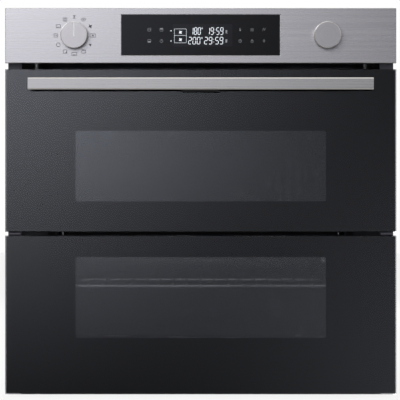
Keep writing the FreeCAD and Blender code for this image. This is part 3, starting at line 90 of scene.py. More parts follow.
# %% A mesh from a closed or open grid
def grid_piece(name, points, close_u=True, close_v=True, caps=False):
    """points is an array (u, v, 3). Face (i, j) joins points (i, j), (i+1, j), (i+1, j+1) and (i, j+1); an index
    past the end returns to 0 on a closed side. caps closes both ends of an open run with one face each."""
    count_u, count_v = points.shape[:2]
    i = np.arange(count_u if close_u else count_u - 1)
    j = np.arange(count_v if close_v else count_v - 1)
    ii, jj = (a.ravel() for a in np.meshgrid(i, j, indexing="ij"))
    near, far = ii * count_v, (ii + 1) % count_u * count_v
    left, right = jj, (jj + 1) % count_v
    quads = np.stack([near + left, far + left, far + right, near + right], 1)
    faces = quads.tolist()
    if caps:
        faces.append(list(range(count_v)))
        faces.append([(count_u - 1) * count_v + k for k in reversed(range(count_v))])
    mesh = bpy.data.meshes.new(name)
    mesh.from_pydata(points.reshape(-1, 3).tolist(), [], faces)
    mesh.validate()
    piece = bpy.data.objects.new(name, mesh)
    bpy.context.scene.collection.objects.link(piece)
    return piece


def outward(piece):
    """Turns every face of a closed piece to point out of it."""
    import bmesh
    work = bmesh.new()
    work.from_mesh(piece.data)
    bmesh.ops.remove_doubles(work, verts=work.verts, dist=1e-7)
    bmesh.ops.recalc_face_normals(work, faces=work.faces)
    work.to_mesh(piece.data)
    work.free()
    return piece


def joined(name, pieces):
    """One object that holds the meshes of several."""
    points, faces, start = [], [], 0
    for piece in pieces:
        data = piece.data
        places = np.empty(len(data.vertices) * 3)
        data.vertices.foreach_get("co", places)
        points.append(places.reshape(-1, 3))
        faces += [[start + k for k in face.vertices] for face in data.polygons]
        start += len(data.vertices)
        bpy.data.objects.remove(piece)
        bpy.data.meshes.remove(data)
    mesh = bpy.data.meshes.new(name)
    mesh.from_pydata(np.concatenate(points).tolist(), [], faces)
    whole = bpy.data.objects.new(name, mesh)
    bpy.context.scene.collection.objects.link(whole)
    return outward(whole)


# %% Outlines in the plane of the front
def rounded_outline(half_w, half_h, radius, per_corner=7):
    """Points anticlockwise round a rectangle: each corner is a quarter circle, centre (±(half_w - radius),
    ±(half_h - radius)), swept through a right angle from 0, 90, 180 and 270 degrees."""
    turn = np.linspace(0, np.pi / 2, per_corner)
    angle = np.concatenate([turn + k * np.pi / 2 for k in range(4)])
    side_u = np.repeat([1, -1, -1, 1], per_corner)
    side_v = np.repeat([1, 1, -1, -1], per_corner)
    return np.stack([
        side_u * (half_w - radius) + radius * np.cos(angle),
        side_v * (half_h - radius) + radius * np.sin(angle)], 1)


def frame_sheet(name, outer, inner, y0, y1):
    """A flat frame between two outlines with equal counts: its closed section visits outer-front, outer-back,
    inner-back and inner-front."""
    rows = np.stack([outer, outer, inner, inner], 1)
    depth = np.broadcast_to([y0, y1, y1, y0], rows.shape[:2])
    return outward(grid_piece(name, np.stack([rows[..., 0], depth, rows[..., 1]], 2)))


def plate(name, outline, y0, y1):
    """A flat plate: the outline at two depths, with a face over each end."""
    rows = np.stack([outline, outline], 0)
    depth = np.broadcast_to([[y0], [y1]], rows.shape[:2])
    points = np.stack([rows[..., 0], depth, rows[..., 1]], 2)
    return outward(grid_piece(name, points, close_u=False, close_v=True, caps=True))


def stroke(name, path, width, closed, y0, y1):
    """A line of even width along a path. Each point moves half the width along its mitre, the mean of the two
    neighbouring normals divided by the cosine of half the turn between them."""
    path = np.asarray(path, float)
    ahead = np.roll(path, -1, 0) - path
    behind = path - np.roll(path, 1, 0)
    if not closed:
        ahead[-1] = behind[-1]
        behind[0] = ahead[0]
    ahead /= np.linalg.norm(ahead, axis=1, keepdims=True)
    behind /= np.linalg.norm(behind, axis=1, keepdims=True)
    normal = np.stack([-(ahead + behind)[:, 1], (ahead + behind)[:, 0]], 1)
    normal /= np.linalg.norm(normal, axis=1, keepdims=True)
    half_turn = np.clip(np.abs((normal * np.stack([-ahead[:, 1], ahead[:, 0]], 1)).sum(1)), 0.5, 1)
    shift = normal * (width / 2 / half_turn)[:, None]
    rows = np.stack([path + shift, path + shift, path - shift, path - shift], 1)
    depth = np.broadcast_to([y0, y1, y1, y0], rows.shape[:2])
    points = np.stack([rows[..., 0], depth, rows[..., 1]], 2)
    return grid_piece(name, points, close_u=closed, close_v=True, caps=not closed)


print("outline of a window corner:", rounded_outline(0.19, 0.05, 0.003).shape)

# %% [markdown]
# ## Shared effects
# Three effects turn up again and again: fine parallel brushing, cloudy variation such as handling marks, and
# small grain. Each is a node group, built once, that gives out only masks and normals. The material decides
# what colour and roughness to make of them.

# %% Group builder
def new_group(name, inputs, outputs):
    """An empty shader group with named sockets: inputs are (name, default), outputs are (name, socket type)."""
    group = bpy.data.node_groups.new(name, "ShaderNodeTree")
    group.interface.new_socket("Vector", in_out="INPUT", socket_type="NodeSocketVector")
    for label, value in inputs:
        made = group.interface.new_socket(label, in_out="INPUT", socket_type="NodeSocketFloat")
        made.default_value = value
    for label, kind in outputs:
        group.interface.new_socket(label, in_out="OUTPUT", socket_type=kind)
    return group, group.nodes.new("NodeGroupInput"), group.nodes.new("NodeGroupOutput")


def math_node(tree, operation, first, second=None):
    """One Math node; each input is a socket or a number."""
    made = tree.nodes.new("ShaderNodeMath")
    made.operation = operation
    for socket, value in zip(made.inputs, (first, second)):
        if value is None:
            continue
        if isinstance(value, (int, float)):
            socket.default_value = value
        else:
            tree.links.new(value, socket)
    return made.outputs[0]


# %% Brushing: noise squeezed into long thin streaks
def build_brushing():
    """Noise on stretched coordinates: Along and Across are how many cells there are to the metre, so a small
    Along and a large Across give long lines. Two sizes of line are mixed, and a bump turns them into a normal."""
    group, given, out = new_group("brushing", [("Along", 6.0), ("Across", 2600.0), ("Depth", 0.08)],
                                  [("Lines", "NodeSocketFloat"), ("Normal", "NodeSocketVector")])
    scale = group.nodes.new("ShaderNodeCombineXYZ")
    group.links.new(given.outputs["Along"], scale.inputs[0])
    group.links.new(given.outputs["Across"], scale.inputs[1])
    group.links.new(given.outputs["Across"], scale.inputs[2])
    squeezed = group.nodes.new("ShaderNodeVectorMath")
    squeezed.operation = "MULTIPLY"
    group.links.new(given.outputs["Vector"], squeezed.inputs[0])
    group.links.new(scale.outputs[0], squeezed.inputs[1])
    values = []
    for size in (1.0, 0.31):
        noise = group.nodes.new("ShaderNodeTexNoise")
        noise.inputs["Scale"].default_value = size
        noise.inputs["Detail"].default_value = 3
        group.links.new(squeezed.outputs[0], noise.inputs["Vector"])
        values.append(noise.outputs["Fac"])
    mean = math_node(group, "MULTIPLY", math_node(group, "ADD", *values), 0.5)
    bump = group.nodes.new("ShaderNodeBump")
    bump.inputs["Distance"].default_value = 0.0002
    group.links.new(given.outputs["Depth"], bump.inputs["Strength"])
    group.links.new(mean, bump.inputs["Height"])
    group.links.new(mean, out.inputs["Lines"])
    group.links.new(bump.outputs[0], out.inputs["Normal"])
    return group


brushing = build_brushing()

# %% Clouds: soft uneven patches, for handling marks and uneven coats
def build_clouds():
    """Low-frequency noise pushed apart by Contrast round its middle, so 0.5 means no change."""
    group, given, out = new_group("clouds", [("Size", 8.0), ("Contrast", 1.5)], [("Mask", "NodeSocketFloat")])
    noise = group.nodes.new("ShaderNodeTexNoise")
    noise.inputs["Detail"].default_value = 4
    group.links.new(given.outputs["Vector"], noise.inputs["Vector"])
    group.links.new(given.outputs["Size"], noise.inputs["Scale"])
    centred = math_node(group, "SUBTRACT", noise.outputs["Fac"], 0.5)
    spread = math_node(group, "MULTIPLY", centred, given.outputs["Contrast"])
    group.links.new(math_node(group, "ADD", spread, 0.5), out.inputs["Mask"])
    return group


clouds = build_clouds()

# %% Grain: fine even texture, for cast, moulded and coated surfaces
def build_grain():
    """Fine noise as a mask and as a bump of the given Depth."""
    group, given, out = new_group("grain", [("Size", 900.0), ("Depth", 0.1)],
                                  [("Mask", "NodeSocketFloat"), ("Normal", "NodeSocketVector")])
    noise = group.nodes.new("ShaderNodeTexNoise")
    noise.inputs["Detail"].default_value = 5
    group.links.new(given.outputs["Vector"], noise.inputs["Vector"])
    group.links.new(given.outputs["Size"], noise.inputs["Scale"])
    bump = group.nodes.new("ShaderNodeBump")
    bump.inputs["Distance"].default_value = 0.0003
    group.links.new(given.outputs["Depth"], bump.inputs["Strength"])
    group.links.new(noise.outputs["Fac"], bump.inputs["Height"])
    group.links.new(noise.outputs["Fac"], out.inputs["Mask"])
    group.links.new(bump.outputs[0], out.inputs["Normal"])
    return group


grain = build_grain()
print("effects:", [g.name for g in (brushing, clouds, grain)])

# %% [markdown]
# ## Finishes
# A helper starts each material with one Principled shader and an Object coordinate. Colour, roughness and
# normal are then linked from the groups; settings that are the same all over stay on the shader's own sockets.

# %% Material helpers
def start_finish(name, roughness=0.5, metallic=0.0, colour=(0.5, 0.5, 0.5)):
    """A material, its shader and its Object coordinate."""
    made = bpy.data.materials.new(name)
    made.use_nodes = True
    shader = made.node_tree.nodes["Principled BSDF"]
    shader.inputs["Base Color"].default_value = (*colour, 1)
    shader.inputs["Roughness"].default_value = roughness
    shader.inputs["Metallic"].default_value = metallic
    place = made.node_tree.nodes.new("ShaderNodeTexCoord").outputs["Object"]
    return made, made.node_tree, shader, place


def use(tree, group, place, **values):
    """Places a shared effect in a material with its own values."""
    made = tree.nodes.new("ShaderNodeGroup")
    made.node_tree = group
    tree.links.new(place, made.inputs["Vector"])
    for label, value in values.items():
        made.inputs[label].default_value = value
    return made


def mixed_colour(tree, mask, dark, light):
    """A colour between two, chosen by a mask from 0 to 1."""
    mix = tree.nodes.new("ShaderNodeMix")
    mix.data_type = "RGBA"
    mix.inputs["A"].default_value = (*dark, 1)
    mix.inputs["B"].default_value = (*light, 1)
    tree.links.new(mask, mix.inputs["Factor"])
    return mix.outputs["Result"]


def mapped(tree, mask, low, high, from_low=0.3, from_high=0.7):
    """A mask stretched from one range to another and held inside it."""
    made = tree.nodes.new("ShaderNodeMapRange")
    tree.links.new(mask, made.inputs["Value"])
    for label, value in (("From Min", from_low), ("From Max", from_high), ("To Min", low), ("To Max", high)):
        made.inputs[label].default_value = value
    return made.outputs["Result"]


def simple_finish(name, dark, light, rough, metallic=0.0, size=40.0, depth=0.1, bump_size=900.0):
    """A coated, moulded or bare surface: clouds move its colour and roughness, grain gives it tooth."""
    made, tree, shader, place = start_finish(name, metallic=metallic)
    patches = use(tree, clouds, place, Size=size, Contrast=1.6)
    tooth = use(tree, grain, place, Size=bump_size, Depth=depth)
    tree.links.new(mixed_colour(tree, patches.outputs["Mask"], dark, light), shader.inputs["Base Color"])
    tree.links.new(mapped(tree, patches.outputs["Mask"], *rough), shader.inputs["Roughness"])
    tree.links.new(tooth.outputs["Normal"], shader.inputs["Normal"])
    return made


def dress(finish, *names):
    """Gives a finish to nodes or new pieces."""
    for name in names:
        piece = nodes.get(name) or bpy.data.objects[name]
        piece.data.materials.clear()
        piece.data.materials.append(finish)


# %% [markdown]
# ## Brushed steel of the panel, the handle and the posts
# The panel is stainless steel brushed from side to side. Under a soft light its lines scatter the highlight
# upwards and downwards, so they show as faint streaks and not as a mirror image.

# %% Brushed steel
def brushed_steel(name, along, across, dark, light, rough):
    made, tree, shader, place = start_finish(name, metallic=1.0)
    lines = use(tree, brushing, place, Along=along, Across=across, Depth=0.05)
    marks = use(tree, clouds, place, Size=9.0, Contrast=0.5)
    both = math_node(tree, "ADD", math_node(tree, "MULTIPLY", lines.outputs["Lines"], 0.8),
                     math_node(tree, "MULTIPLY", marks.outputs["Mask"], 0.2))
    tree.links.new(mixed_colour(tree, mapped(tree, both, 0, 1, 0.35, 0.65), dark, light),
                   shader.inputs["Base Color"])
    tree.links.new(mapped(tree, lines.outputs["Lines"], rough[0], rough[1], 0.35, 0.65),
                   shader.inputs["Roughness"])
    tree.links.new(lines.outputs["Normal"], shader.inputs["Normal"])
    shader.inputs["Anisotropic"].default_value = 0.4
    return made


panel_steel = brushed_steel("panel_steel", 5.0, 1500.0, (0.332, 0.316, 0.309), (0.375, 0.356, 0.347), (0.24, 0.29))
handle_steel = brushed_steel("handle_steel", 4.0, 1800.0, (0.308, 0.296, 0.280), (0.370, 0.356, 0.336), (0.26, 0.34))
dress(panel_steel, "control_fascia")
dress(handle_steel, "handle_bar", "handle_posts")
print("steel on the panel, bar and posts")

# %% [markdown]
# ## Turned steel of the knobs
# A knob's face is cut on a lathe, so its marks are circles round its own middle. The distance from the knob's
# axis, worked out in the material from Object coordinates, makes those circles.

# %% Turned steel
def turned_steel(name, centre_x, centre_z):
    """Rings: noise along the distance from the axis (x - centre_x, z - centre_z), a thousand cells to the metre
    and more, so each ring is a fraction of a millimetre wide."""
    made, tree, shader, place = start_finish(name, metallic=1.0)
    split = tree.nodes.new("ShaderNodeSeparateXYZ")
    tree.links.new(place, split.inputs[0])
    across = math_node(tree, "SUBTRACT", split.outputs[0], centre_x)
    up = math_node(tree, "SUBTRACT", split.outputs[2], centre_z)
    squares = math_node(tree, "ADD", math_node(tree, "MULTIPLY", across, across),
                        math_node(tree, "MULTIPLY", up, up))
    distance = math_node(tree, "SQRT", squares)
    ring_place = tree.nodes.new("ShaderNodeCombineXYZ")
    tree.links.new(distance, ring_place.inputs[0])
    tree.links.new(math_node(tree, "MULTIPLY", split.outputs[1], 0.5), ring_place.inputs[1])
    rings = use(tree, grain, ring_place.outputs[0], Size=1600.0, Depth=0.12)
    tree.links.new(mixed_colour(tree, mapped(tree, rings.outputs["Mask"], 0, 1), (0.325, 0.31, 0.303),
                                (0.39, 0.37, 0.362)), shader.inputs["Base Color"])
    tree.links.new(mapped(tree, rings.outputs["Mask"], 0.28, 0.38), shader.inputs["Roughness"])
    tree.links.new(rings.outputs["Normal"], shader.inputs["Normal"])
    return made


dress(turned_steel("mode_knob_steel", knob_x, knob_z), "mode_knob")
dress(turned_steel("value_knob_steel", -knob_x, knob_z), "value_knob")

# %% [markdown]
# ## Door glass
# Each door has a full-width pane, printed black on its back except for a window. The real print is a film of
# black enamel baked onto the glass. Here the pane is clear glass with a slight tint, and the print is a thin
# sheet inside its back face, cut out at the window. Light then reflects from the true front of the glass
# everywhere, and only the window lets the eye through.

# %% Panes
def glass_finish(name, tint, rough, transmission=1.0, alpha=1.0):
    """Glass with faint wiping marks in its roughness."""
    made, tree, shader, place = start_finish(name, colour=tint)
    marks = use(tree, clouds, place, Size=6.0, Contrast=1.0)
    tree.links.new(mapped(tree, marks.outputs["Mask"], rough, rough + 0.02), shader.inputs["Roughness"])
    shader.inputs["IOR"].default_value = 1.5
    shader.inputs["Transmission Weight"].default_value = transmission
    shader.inputs["Alpha"].default_value = alpha
    return made


outer_pane = glass_finish("outer_pane", (0.58, 0.59, 0.61), 0.03)
inner_pane = glass_finish("inner_pane", (0.05, 0.05, 0.055), 0.08, transmission=0.0, alpha=0.14)
dress(outer_pane, "upper_outer_glass", "lower_outer_glass")
dress(inner_pane, "upper_inner_glass", "lower_inner_glass", "upper_middle_glass", "lower_middle_glass")

# %% Black print with a window
WINDOW_HALF = 190.5 * mm
PRINTS = {
    "upper": (upper_low, upper_high, 296.5 * mm, 403.8 * mm),
    "lower": (lower_low, lower_high, 88.5 * mm, 211.8 * mm),
}
print_finish = simple_finish("black_print", (0.0025, 0.0025, 0.003), (0.0035, 0.0035, 0.004), (0.5, 0.6), size=12.0,
                             depth=0.02)
print_finish.node_tree.nodes["Principled BSDF"].inputs["Specular IOR Level"].default_value = 0.0
for door, (low, high, window_low, window_high) in PRINTS.items():
    edge = 1.3 * mm
    outer = rounded_outline((high.x - low.x) / 2 - edge, (high.z - low.z) / 2 - edge, 1.0 * mm)
    outer[:, 1] += (low.z + high.z) / 2
    inner = rounded_outline(WINDOW_HALF, (window_high - window_low) / 2, 2.5 * mm)
    inner[:, 1] += (window_low + window_high) / 2
    sheet = frame_sheet(f"{door}_glass_print", outer, inner, high.y - 0.35 * mm, high.y - 0.15 * mm)
    dress(print_finish, sheet.name)
    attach(sheet, f"{door}_door")
print("prints:", [f"{door}_glass_print" for door in PRINTS])

# %% [markdown]
# ## Enamel, chrome and the pieces inside
# The cavity is steel coated with dark enamel, speckled with paler grains that hide stains. The racks are
# bright wire. Behind them are bare stamped motors, mineral wool, oxidised heating tubes and galvanised sheet
# with its leaf-like crystals.

# %% Speckled cavity enamel
def speckled_enamel(name):
    """Dark enamel. A Voronoi cell whose random value is over a limit turns pale near its middle."""
    made, tree, shader, place = start_finish(name)
    cells = tree.nodes.new("ShaderNodeTexVoronoi")
    cells.inputs["Scale"].default_value = 320
    tree.links.new(place, cells.inputs["Vector"])
    near = math_node(tree, "LESS_THAN", cells.outputs["Distance"], 0.22)
    split = tree.nodes.new("ShaderNodeSeparateColor")
    tree.links.new(cells.outputs["Color"], split.inputs[0])
    chosen = math_node(tree, "GREATER_THAN", split.outputs[0], 0.55)
    speck = math_node(tree, "MULTIPLY", near, chosen)
    tree.links.new(mixed_colour(tree, speck, (0.030, 0.032, 0.042), (0.30, 0.31, 0.34)),
                   shader.inputs["Base Color"])
    patches = use(tree, clouds, place, Size=14.0, Contrast=1.2)
    tree.links.new(mapped(tree, patches.outputs["Mask"], 0.18, 0.30), shader.inputs["Roughness"])
    wave = use(tree, grain, place, Size=160.0, Depth=0.06)
    tree.links.new(wave.outputs["Normal"], shader.inputs["Normal"])
    return made


cavity_enamel = speckled_enamel("cavity_enamel")
dress(cavity_enamel, "cavity_shell", "lower_fan_cover", "upper_fan_cover", "divider", "lower_fan", "upper_fan")

# %% Chrome wire
chrome_wire = simple_finish("chrome_wire", (0.62, 0.62, 0.63), (0.78, 0.78, 0.79), (0.12, 0.22), metallic=1.0,
                            size=60.0, depth=0.04)
dress(chrome_wire, "side_rack_left", "side_rack_right", "side_rack_studs", "wire_rack", "temperature_probes")

# %% Galvanised sheet with crystal patches
def galvanised(name):
    """Flat crystals: each Voronoi cell has its own grey and its own roughness."""
    made, tree, shader, place = start_finish(name, metallic=1.0)
    cells = tree.nodes.new("ShaderNodeTexVoronoi")
    cells.inputs["Scale"].default_value = 85
    tree.links.new(place, cells.inputs["Vector"])
    split = tree.nodes.new("ShaderNodeSeparateColor")
    tree.links.new(cells.outputs["Color"], split.inputs[0])
    patches = use(tree, clouds, place, Size=7.0, Contrast=1.4)
    both = math_node(tree, "ADD", math_node(tree, "MULTIPLY", split.outputs[0], 0.6),
                     math_node(tree, "MULTIPLY", patches.outputs["Mask"], 0.4))
    tree.links.new(mixed_colour(tree, both, (0.44, 0.45, 0.47), (0.58, 0.59, 0.60)), shader.inputs["Base Color"])
    tree.links.new(mapped(tree, split.outputs[1], 0.38, 0.52, 0, 1), shader.inputs["Roughness"])
    tooth = use(tree, grain, place, Size=500.0, Depth=0.05)
    tree.links.new(tooth.outputs["Normal"], shader.inputs["Normal"])
    return made


zinc = galvanised("zinc_sheet")
dress(zinc, "side_panel_left", "side_panel_right", "top_cover", "base_plate", "rear_cover",
      "blower_housing", "steam_flue", "hinge_receivers", "door_hinge_arms", "door_hinge_brackets")

# %% Painted frames, stamped steel, tubes, wool and plastics
frame_paint_and_duct_shade = simple_finish("frame_paint_and_duct_shade", (0.035, 0.035, 0.045), (0.048, 0.048, 0.062), (0.38, 0.5), size=20.0)
# The frames are black paint. The air duct takes the same dark finish as painted shade, so the vent gap behind the
# doors reads dark.
dress(frame_paint_and_duct_shade, "air_duct", "front_frame", "lower_door_frame", "upper_door_frame", "split_hinges_lower",
      "split_hinges_upper")
stamped = simple_finish("stamped_steel", (0.32, 0.33, 0.34), (0.46, 0.46, 0.47), (0.35, 0.5), metallic=1.0,
                        size=50.0)
dress(stamped, "convection_motors", "blower_motor", "blower_rotor", "lamp_housings",
      "latch_rods", "casing_screws")
tube = simple_finish("oxidised_tube", (0.05, 0.045, 0.04), (0.16, 0.12, 0.09), (0.45, 0.65), metallic=0.7,
                     size=70.0, depth=0.2)
dress(tube, "grill_element", "bottom_element", "ring_heaters")
wool = simple_finish("mineral_wool", (0.52, 0.46, 0.34), (0.72, 0.66, 0.54), (0.9, 1.0), size=120.0, depth=1.0,
                     bump_size=420.0)
dress(wool, "insulation")
cord_seal = simple_finish("woven_seal", (0.012, 0.012, 0.013), (0.03, 0.03, 0.032), (0.75, 0.9), size=200.0,
                          depth=0.8, bump_size=1300.0)
dress(cord_seal, "cavity_gasket", "divider_seal")
black_plastic = simple_finish("black_plastic", (0.012, 0.012, 0.013), (0.022, 0.022, 0.023), (0.45, 0.6),
                              size=30.0, depth=0.15, bump_size=2400.0)
dress(black_plastic, "display_module", "panel_carrier", "rotary_encoders", "terminal_block", "handle_lever")


# %% Circuit boards with copper tracks
def board_finish(name):
    """Green lacquer. Tracks are the narrow bands where a square-cell distance is small."""
    made, tree, shader, place = start_finish(name, roughness=0.35)
    cells = tree.nodes.new("ShaderNodeTexVoronoi")
    cells.feature = "DISTANCE_TO_EDGE"
    cells.inputs["Scale"].default_value = 130
    cells.inputs["Randomness"].default_value = 0.35
    tree.links.new(place, cells.inputs["Vector"])
    track = math_node(tree, "LESS_THAN", cells.outputs["Distance"], 0.06)
    tree.links.new(mixed_colour(tree, track, (0.015, 0.085, 0.035), (0.03, 0.16, 0.06)),
                   shader.inputs["Base Color"])
    tree.links.new(mapped(tree, track, 0.35, 0.25, 0, 1), shader.inputs["Roughness"])
    return made


dress(board_finish("board_lacquer"), "control_board", "power_board")

# %% Lamp glass and bulbs
lamp_glass = glass_finish("lamp_glass", (0.9, 0.9, 0.88), 0.05, transmission=0.9)
dress(lamp_glass, "lamp_lenses", "lamp_bulbs")

# %% Display glass
display_finish = simple_finish("display_pane", (0.006, 0.006, 0.007), (0.008, 0.008, 0.009), (0.03, 0.05),
                               size=6.0, depth=0.0)
display_finish.node_tree.nodes["Principled BSDF"].inputs["Specular IOR Level"].default_value = 0.13
dress(display_finish, "display_glass")
print("finished nodes:", sum(1 for n in nodes.values() if n.data.materials), "of", len(nodes))

# %% [markdown]
# ## Signs round the left knob
# Twelve small signs stand at the hours of a clock face: one for each cooking function. They are printed in
# thin grey lines. Each sign is drawn in its own small square, with strokes and filled shapes from simple
# formulas, and then moved to its hour.

# %% Strokes and filled shapes in a unit square
def ellipse(a, b, count=28, u=0.0, v=0.0):
    """Points (u + a cos t, v + b sin t) for t round a full turn."""
    t = np.linspace(0, 2 * np.pi, count, endpoint=False)
    return np.stack([u + a * np.cos(t), v + b * np.sin(t)], 1)


def box_outline(half_u, half_v, radius=0.12, u=0.0, v=0.0):
    return rounded_outline(half_u, half_v, radius, 4) + [u, v]


def fan_outline(size, blades=4, u=0.0, v=0.0, count=72):
    """A fan seen from the front: the radius is size times (0.28 + 0.72 of a rectified cosine of the angle),
    which pulls in between the blades, and the angle leans with the radius to curl them."""
    t = np.linspace(0, 2 * np.pi, count, endpoint=False)
    r = size * (0.28 + 0.72 * np.abs(np.cos(blades * t / 2)) ** 1.3)
    lean = t + 0.7 * r / size
    return np.stack([u + r * np.cos(lean), v + r * np.sin(lean)], 1)


SQUARE = ("line", box_outline(0.85, 0.8), True)
SIGNS = [
    [("line", [(-0.45, 0.7), (0.45, 0.7), (-0.45, -0.6), (0.45, -0.6)], True)],
    [("line", ellipse(1.0, 0.72), True), ("fill", fan_outline(0.42), True)],
    [("fill", fan_outline(0.95), True)],
    [("line", box_outline(1.25, 0.8), True), ("fill", fan_outline(0.6), True)],
    [("fill", fan_outline(0.7, 3), True)],
    [SQUARE, ("line", [(-0.5, 0.45), (0.5, 0.45)], False)],
    [("line", box_outline(1.15, 0.75), True), ("line", [(-0.6, -0.3), (0.6, -0.3)], False)],
    [SQUARE, ("fill", np.array([(0.1, -0.6), (0.75, -0.6), (0.75, 0.1)]), True)],
    [("line", ellipse(0.9, 0.9), True)],
    [SQUARE, ("line", [(-0.35, 0.3), (-0.35, -0.3)], False), ("line", [(0.35, 0.3), (0.35, -0.3)], False)],
    [("line", box_outline(1.0, 0.75), True), ("line", [(-0.6, -0.4), (0.6, -0.4)], False)],
    [SQUARE, ("line", [(-0.5, 0.45), (-0.25, 0.15), (0.0, 0.45), (0.25, 0.15), (0.5, 0.45)], False),
     ("line", [(-0.5, -0.45), (0.5, -0.45)], False)],
]


def draw_sign(name, shapes, u, v, half, width, y0, y1):
    """Strokes and filled shapes of one sign, scaled to half its square and moved to its place."""
    made = []
    for kind, path, closed in shapes:
        path = np.asarray(path, float) * half + [u, v]
        if kind == "line":
            made.append(stroke(name, path, width, closed, y0, y1))
        else:
            made.append(plate(name, path, y0, y1))
    return made


# %% The twelve signs at their hours
SIGN_RADIUS = 28.1 * mm
print_y = panel_low.y - 0.05 * mm
made = []
for hour, shapes in enumerate(SIGNS):
    turn = math.radians(30 * hour)
    made += draw_sign("sign", shapes, knob_x + SIGN_RADIUS * math.sin(turn), knob_z + SIGN_RADIUS * math.cos(turn),
                      3.2 * mm, 0.68 * mm, print_y, panel_low.y + 0.02 * mm)
signs = joined("knob_signs", made)
sign_ink = simple_finish("sign_ink", (0.045, 0.045, 0.05), (0.06, 0.06, 0.065), (0.5, 0.6), size=300.0)
dress(sign_ink, "knob_signs")
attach(signs, "cabinet")
print("signs:", len(signs.data.polygons), "faces")

# %% [markdown]
# ## The knob's mark
# A paler line is let into the left knob's groove, so that the chosen function can be read.

# %% Pale line in the groove
line_half = 1.0 * mm
line_top = knob_high.z - knob_z - 2.3 * mm
path = rounded_outline(line_half, (line_top + 2.6 * mm) / 2, 0.5 * mm, 5)
path += [knob_x, knob_z + (line_top - 2.6 * mm) / 2]
mark = plate("knob_mark", path, knob_low.y + 0.15 * mm, knob_low.y + 0.58 * mm)
mark_finish = simple_finish("mark_paint", (0.80, 0.80, 0.80), (0.86, 0.86, 0.86), (0.3, 0.4), size=200.0)
dress(mark_finish, "knob_mark")
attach(mark, "mode_knob_body")

# %% [markdown]
# ## The display
# Behind the dark pane, lit segments show two temperatures and two times, one for each half of the oven. A
# seven-segment digit is seven short bars, and each number needs only some of them. The bars are real thin
# bodies with a light of their own, leaning slightly as such digits do.

# %% Seven-segment digits
SEGMENTS = {
    "a": [(0, 2), (1, 2)], "b": [(1, 1), (1, 2)], "c": [(1, 0), (1, 1)], "d": [(0, 0), (1, 0)],
    "e": [(0, 0), (0, 1)], "f": [(0, 1), (0, 2)], "g": [(0, 1), (1, 1)],
}
LIT = {"0": "abcdef", "1": "bc", "2": "abged", "3": "abgcd", "4": "fgbc", "5": "afgcd", "6": "afgedc",
       "7": "abc", "8": "abcdefg", "9": "abfgcd"}


def digit_strokes(character, u, v, wide, high, weight, y0, y1):
    """Each segment runs between two corners of a 1 by 2 lattice, shortened at both ends by 0.6 of its weight.
    The lattice point (p, q) lies at u + p wide + lean q, v + q high / 2."""
    made = []
    lean = 0.03 * high
    for segment in LIT[character]:
        ends = np.array(SEGMENTS[segment], float)
        place = np.stack([u + ends[:, 0] * wide + lean * ends[:, 1], v + ends[:, 1] * high / 2], 1)
        way = (place[1] - place[0]) / np.linalg.norm(place[1] - place[0])
        place += np.array([way, -way]) * weight * 0.6
        made.append(stroke("segment", place, weight, False, y0, y1))
    return made


def reading(text, left, right, bottom, top, y0, y1):
    """A line of digits between two edges. A colon is two dots in a narrow cell and a degree sign is a ring."""
    widths = [{":": 0.45, "°": 0.55}.get(c, 1.0) for c in text]
    step = (right - left) / sum(widths)
    made, u = [], left
    high = top - bottom
    for character, width in zip(text, widths):
        if character == ":":
            for level in (0.3, 0.7):
                dot = ellipse(0.45 * mm, 0.45 * mm, 12, u + step * 0.2, bottom + level * high)
                made.append(plate("dot", dot, y0, y1))
        elif character == "°":
            ring = ellipse(0.9 * mm, 0.9 * mm, 16, u + step * 0.25, top - 1.1 * mm)
            made.append(stroke("ring", ring, 0.4 * mm, True, y0, y1))
        else:
            made += digit_strokes(character, u + step * 0.10, bottom, step * 0.66, high, 0.85 * mm, y0, y1)
        u += step * width
    return made


lit_y0, lit_y1 = display_low.y - 0.06 * mm, display_low.y + 0.01 * mm
READINGS = [
    ("180°", -16.3, 3.8, 0.75, 11.3), ("19:59", 8.6, 35.0, 0.75, 11.3),
    ("200°", -19.4, 3.8, -13.6, -3.3), ("29:59", 4.8, 35.0, -13.6, -3.3),
]
made = []
for text, left, right, bottom, top in READINGS:
    edges = (display_x + left * mm, display_x + right * mm, display_z + bottom * mm, display_z + top * mm)
    made += reading(text, *edges, lit_y0, lit_y1)
digits = joined("display_digits", made)

# %% Lit signs beside the digits
def display_sign(shapes, u, v, half, width=0.4):
    return draw_sign("display_sign", shapes, display_x + u * mm, display_z + v * mm, half * mm, width * mm,
                     lit_y0, lit_y1)


made = []
for v in (6.5, -9.0):
    made += display_sign([("fill", ellipse(1, 1, 16), True)], -45.2, v, 0.8)
made += display_sign([("line", box_outline(0.86, 1.0, 0.1), True), ("line", [(-0.84, 0.06), (0.84, 0.06)], False)],
                     -31.0, -1.2, 10.6, 0.34)
for v in (4.2, -7.0):
    made += display_sign([("fill", fan_outline(1.0, 4), True)], -30.8, v, 2.7)
for v in (3.4, -10.6):
    for k in range(3):
        made += display_sign([("line", [(-1, 0), (1, 0)], False)], 39.0, v + 1.6 * k, 1.4, 0.35)
lit_signs = joined("display_lit_signs", made)

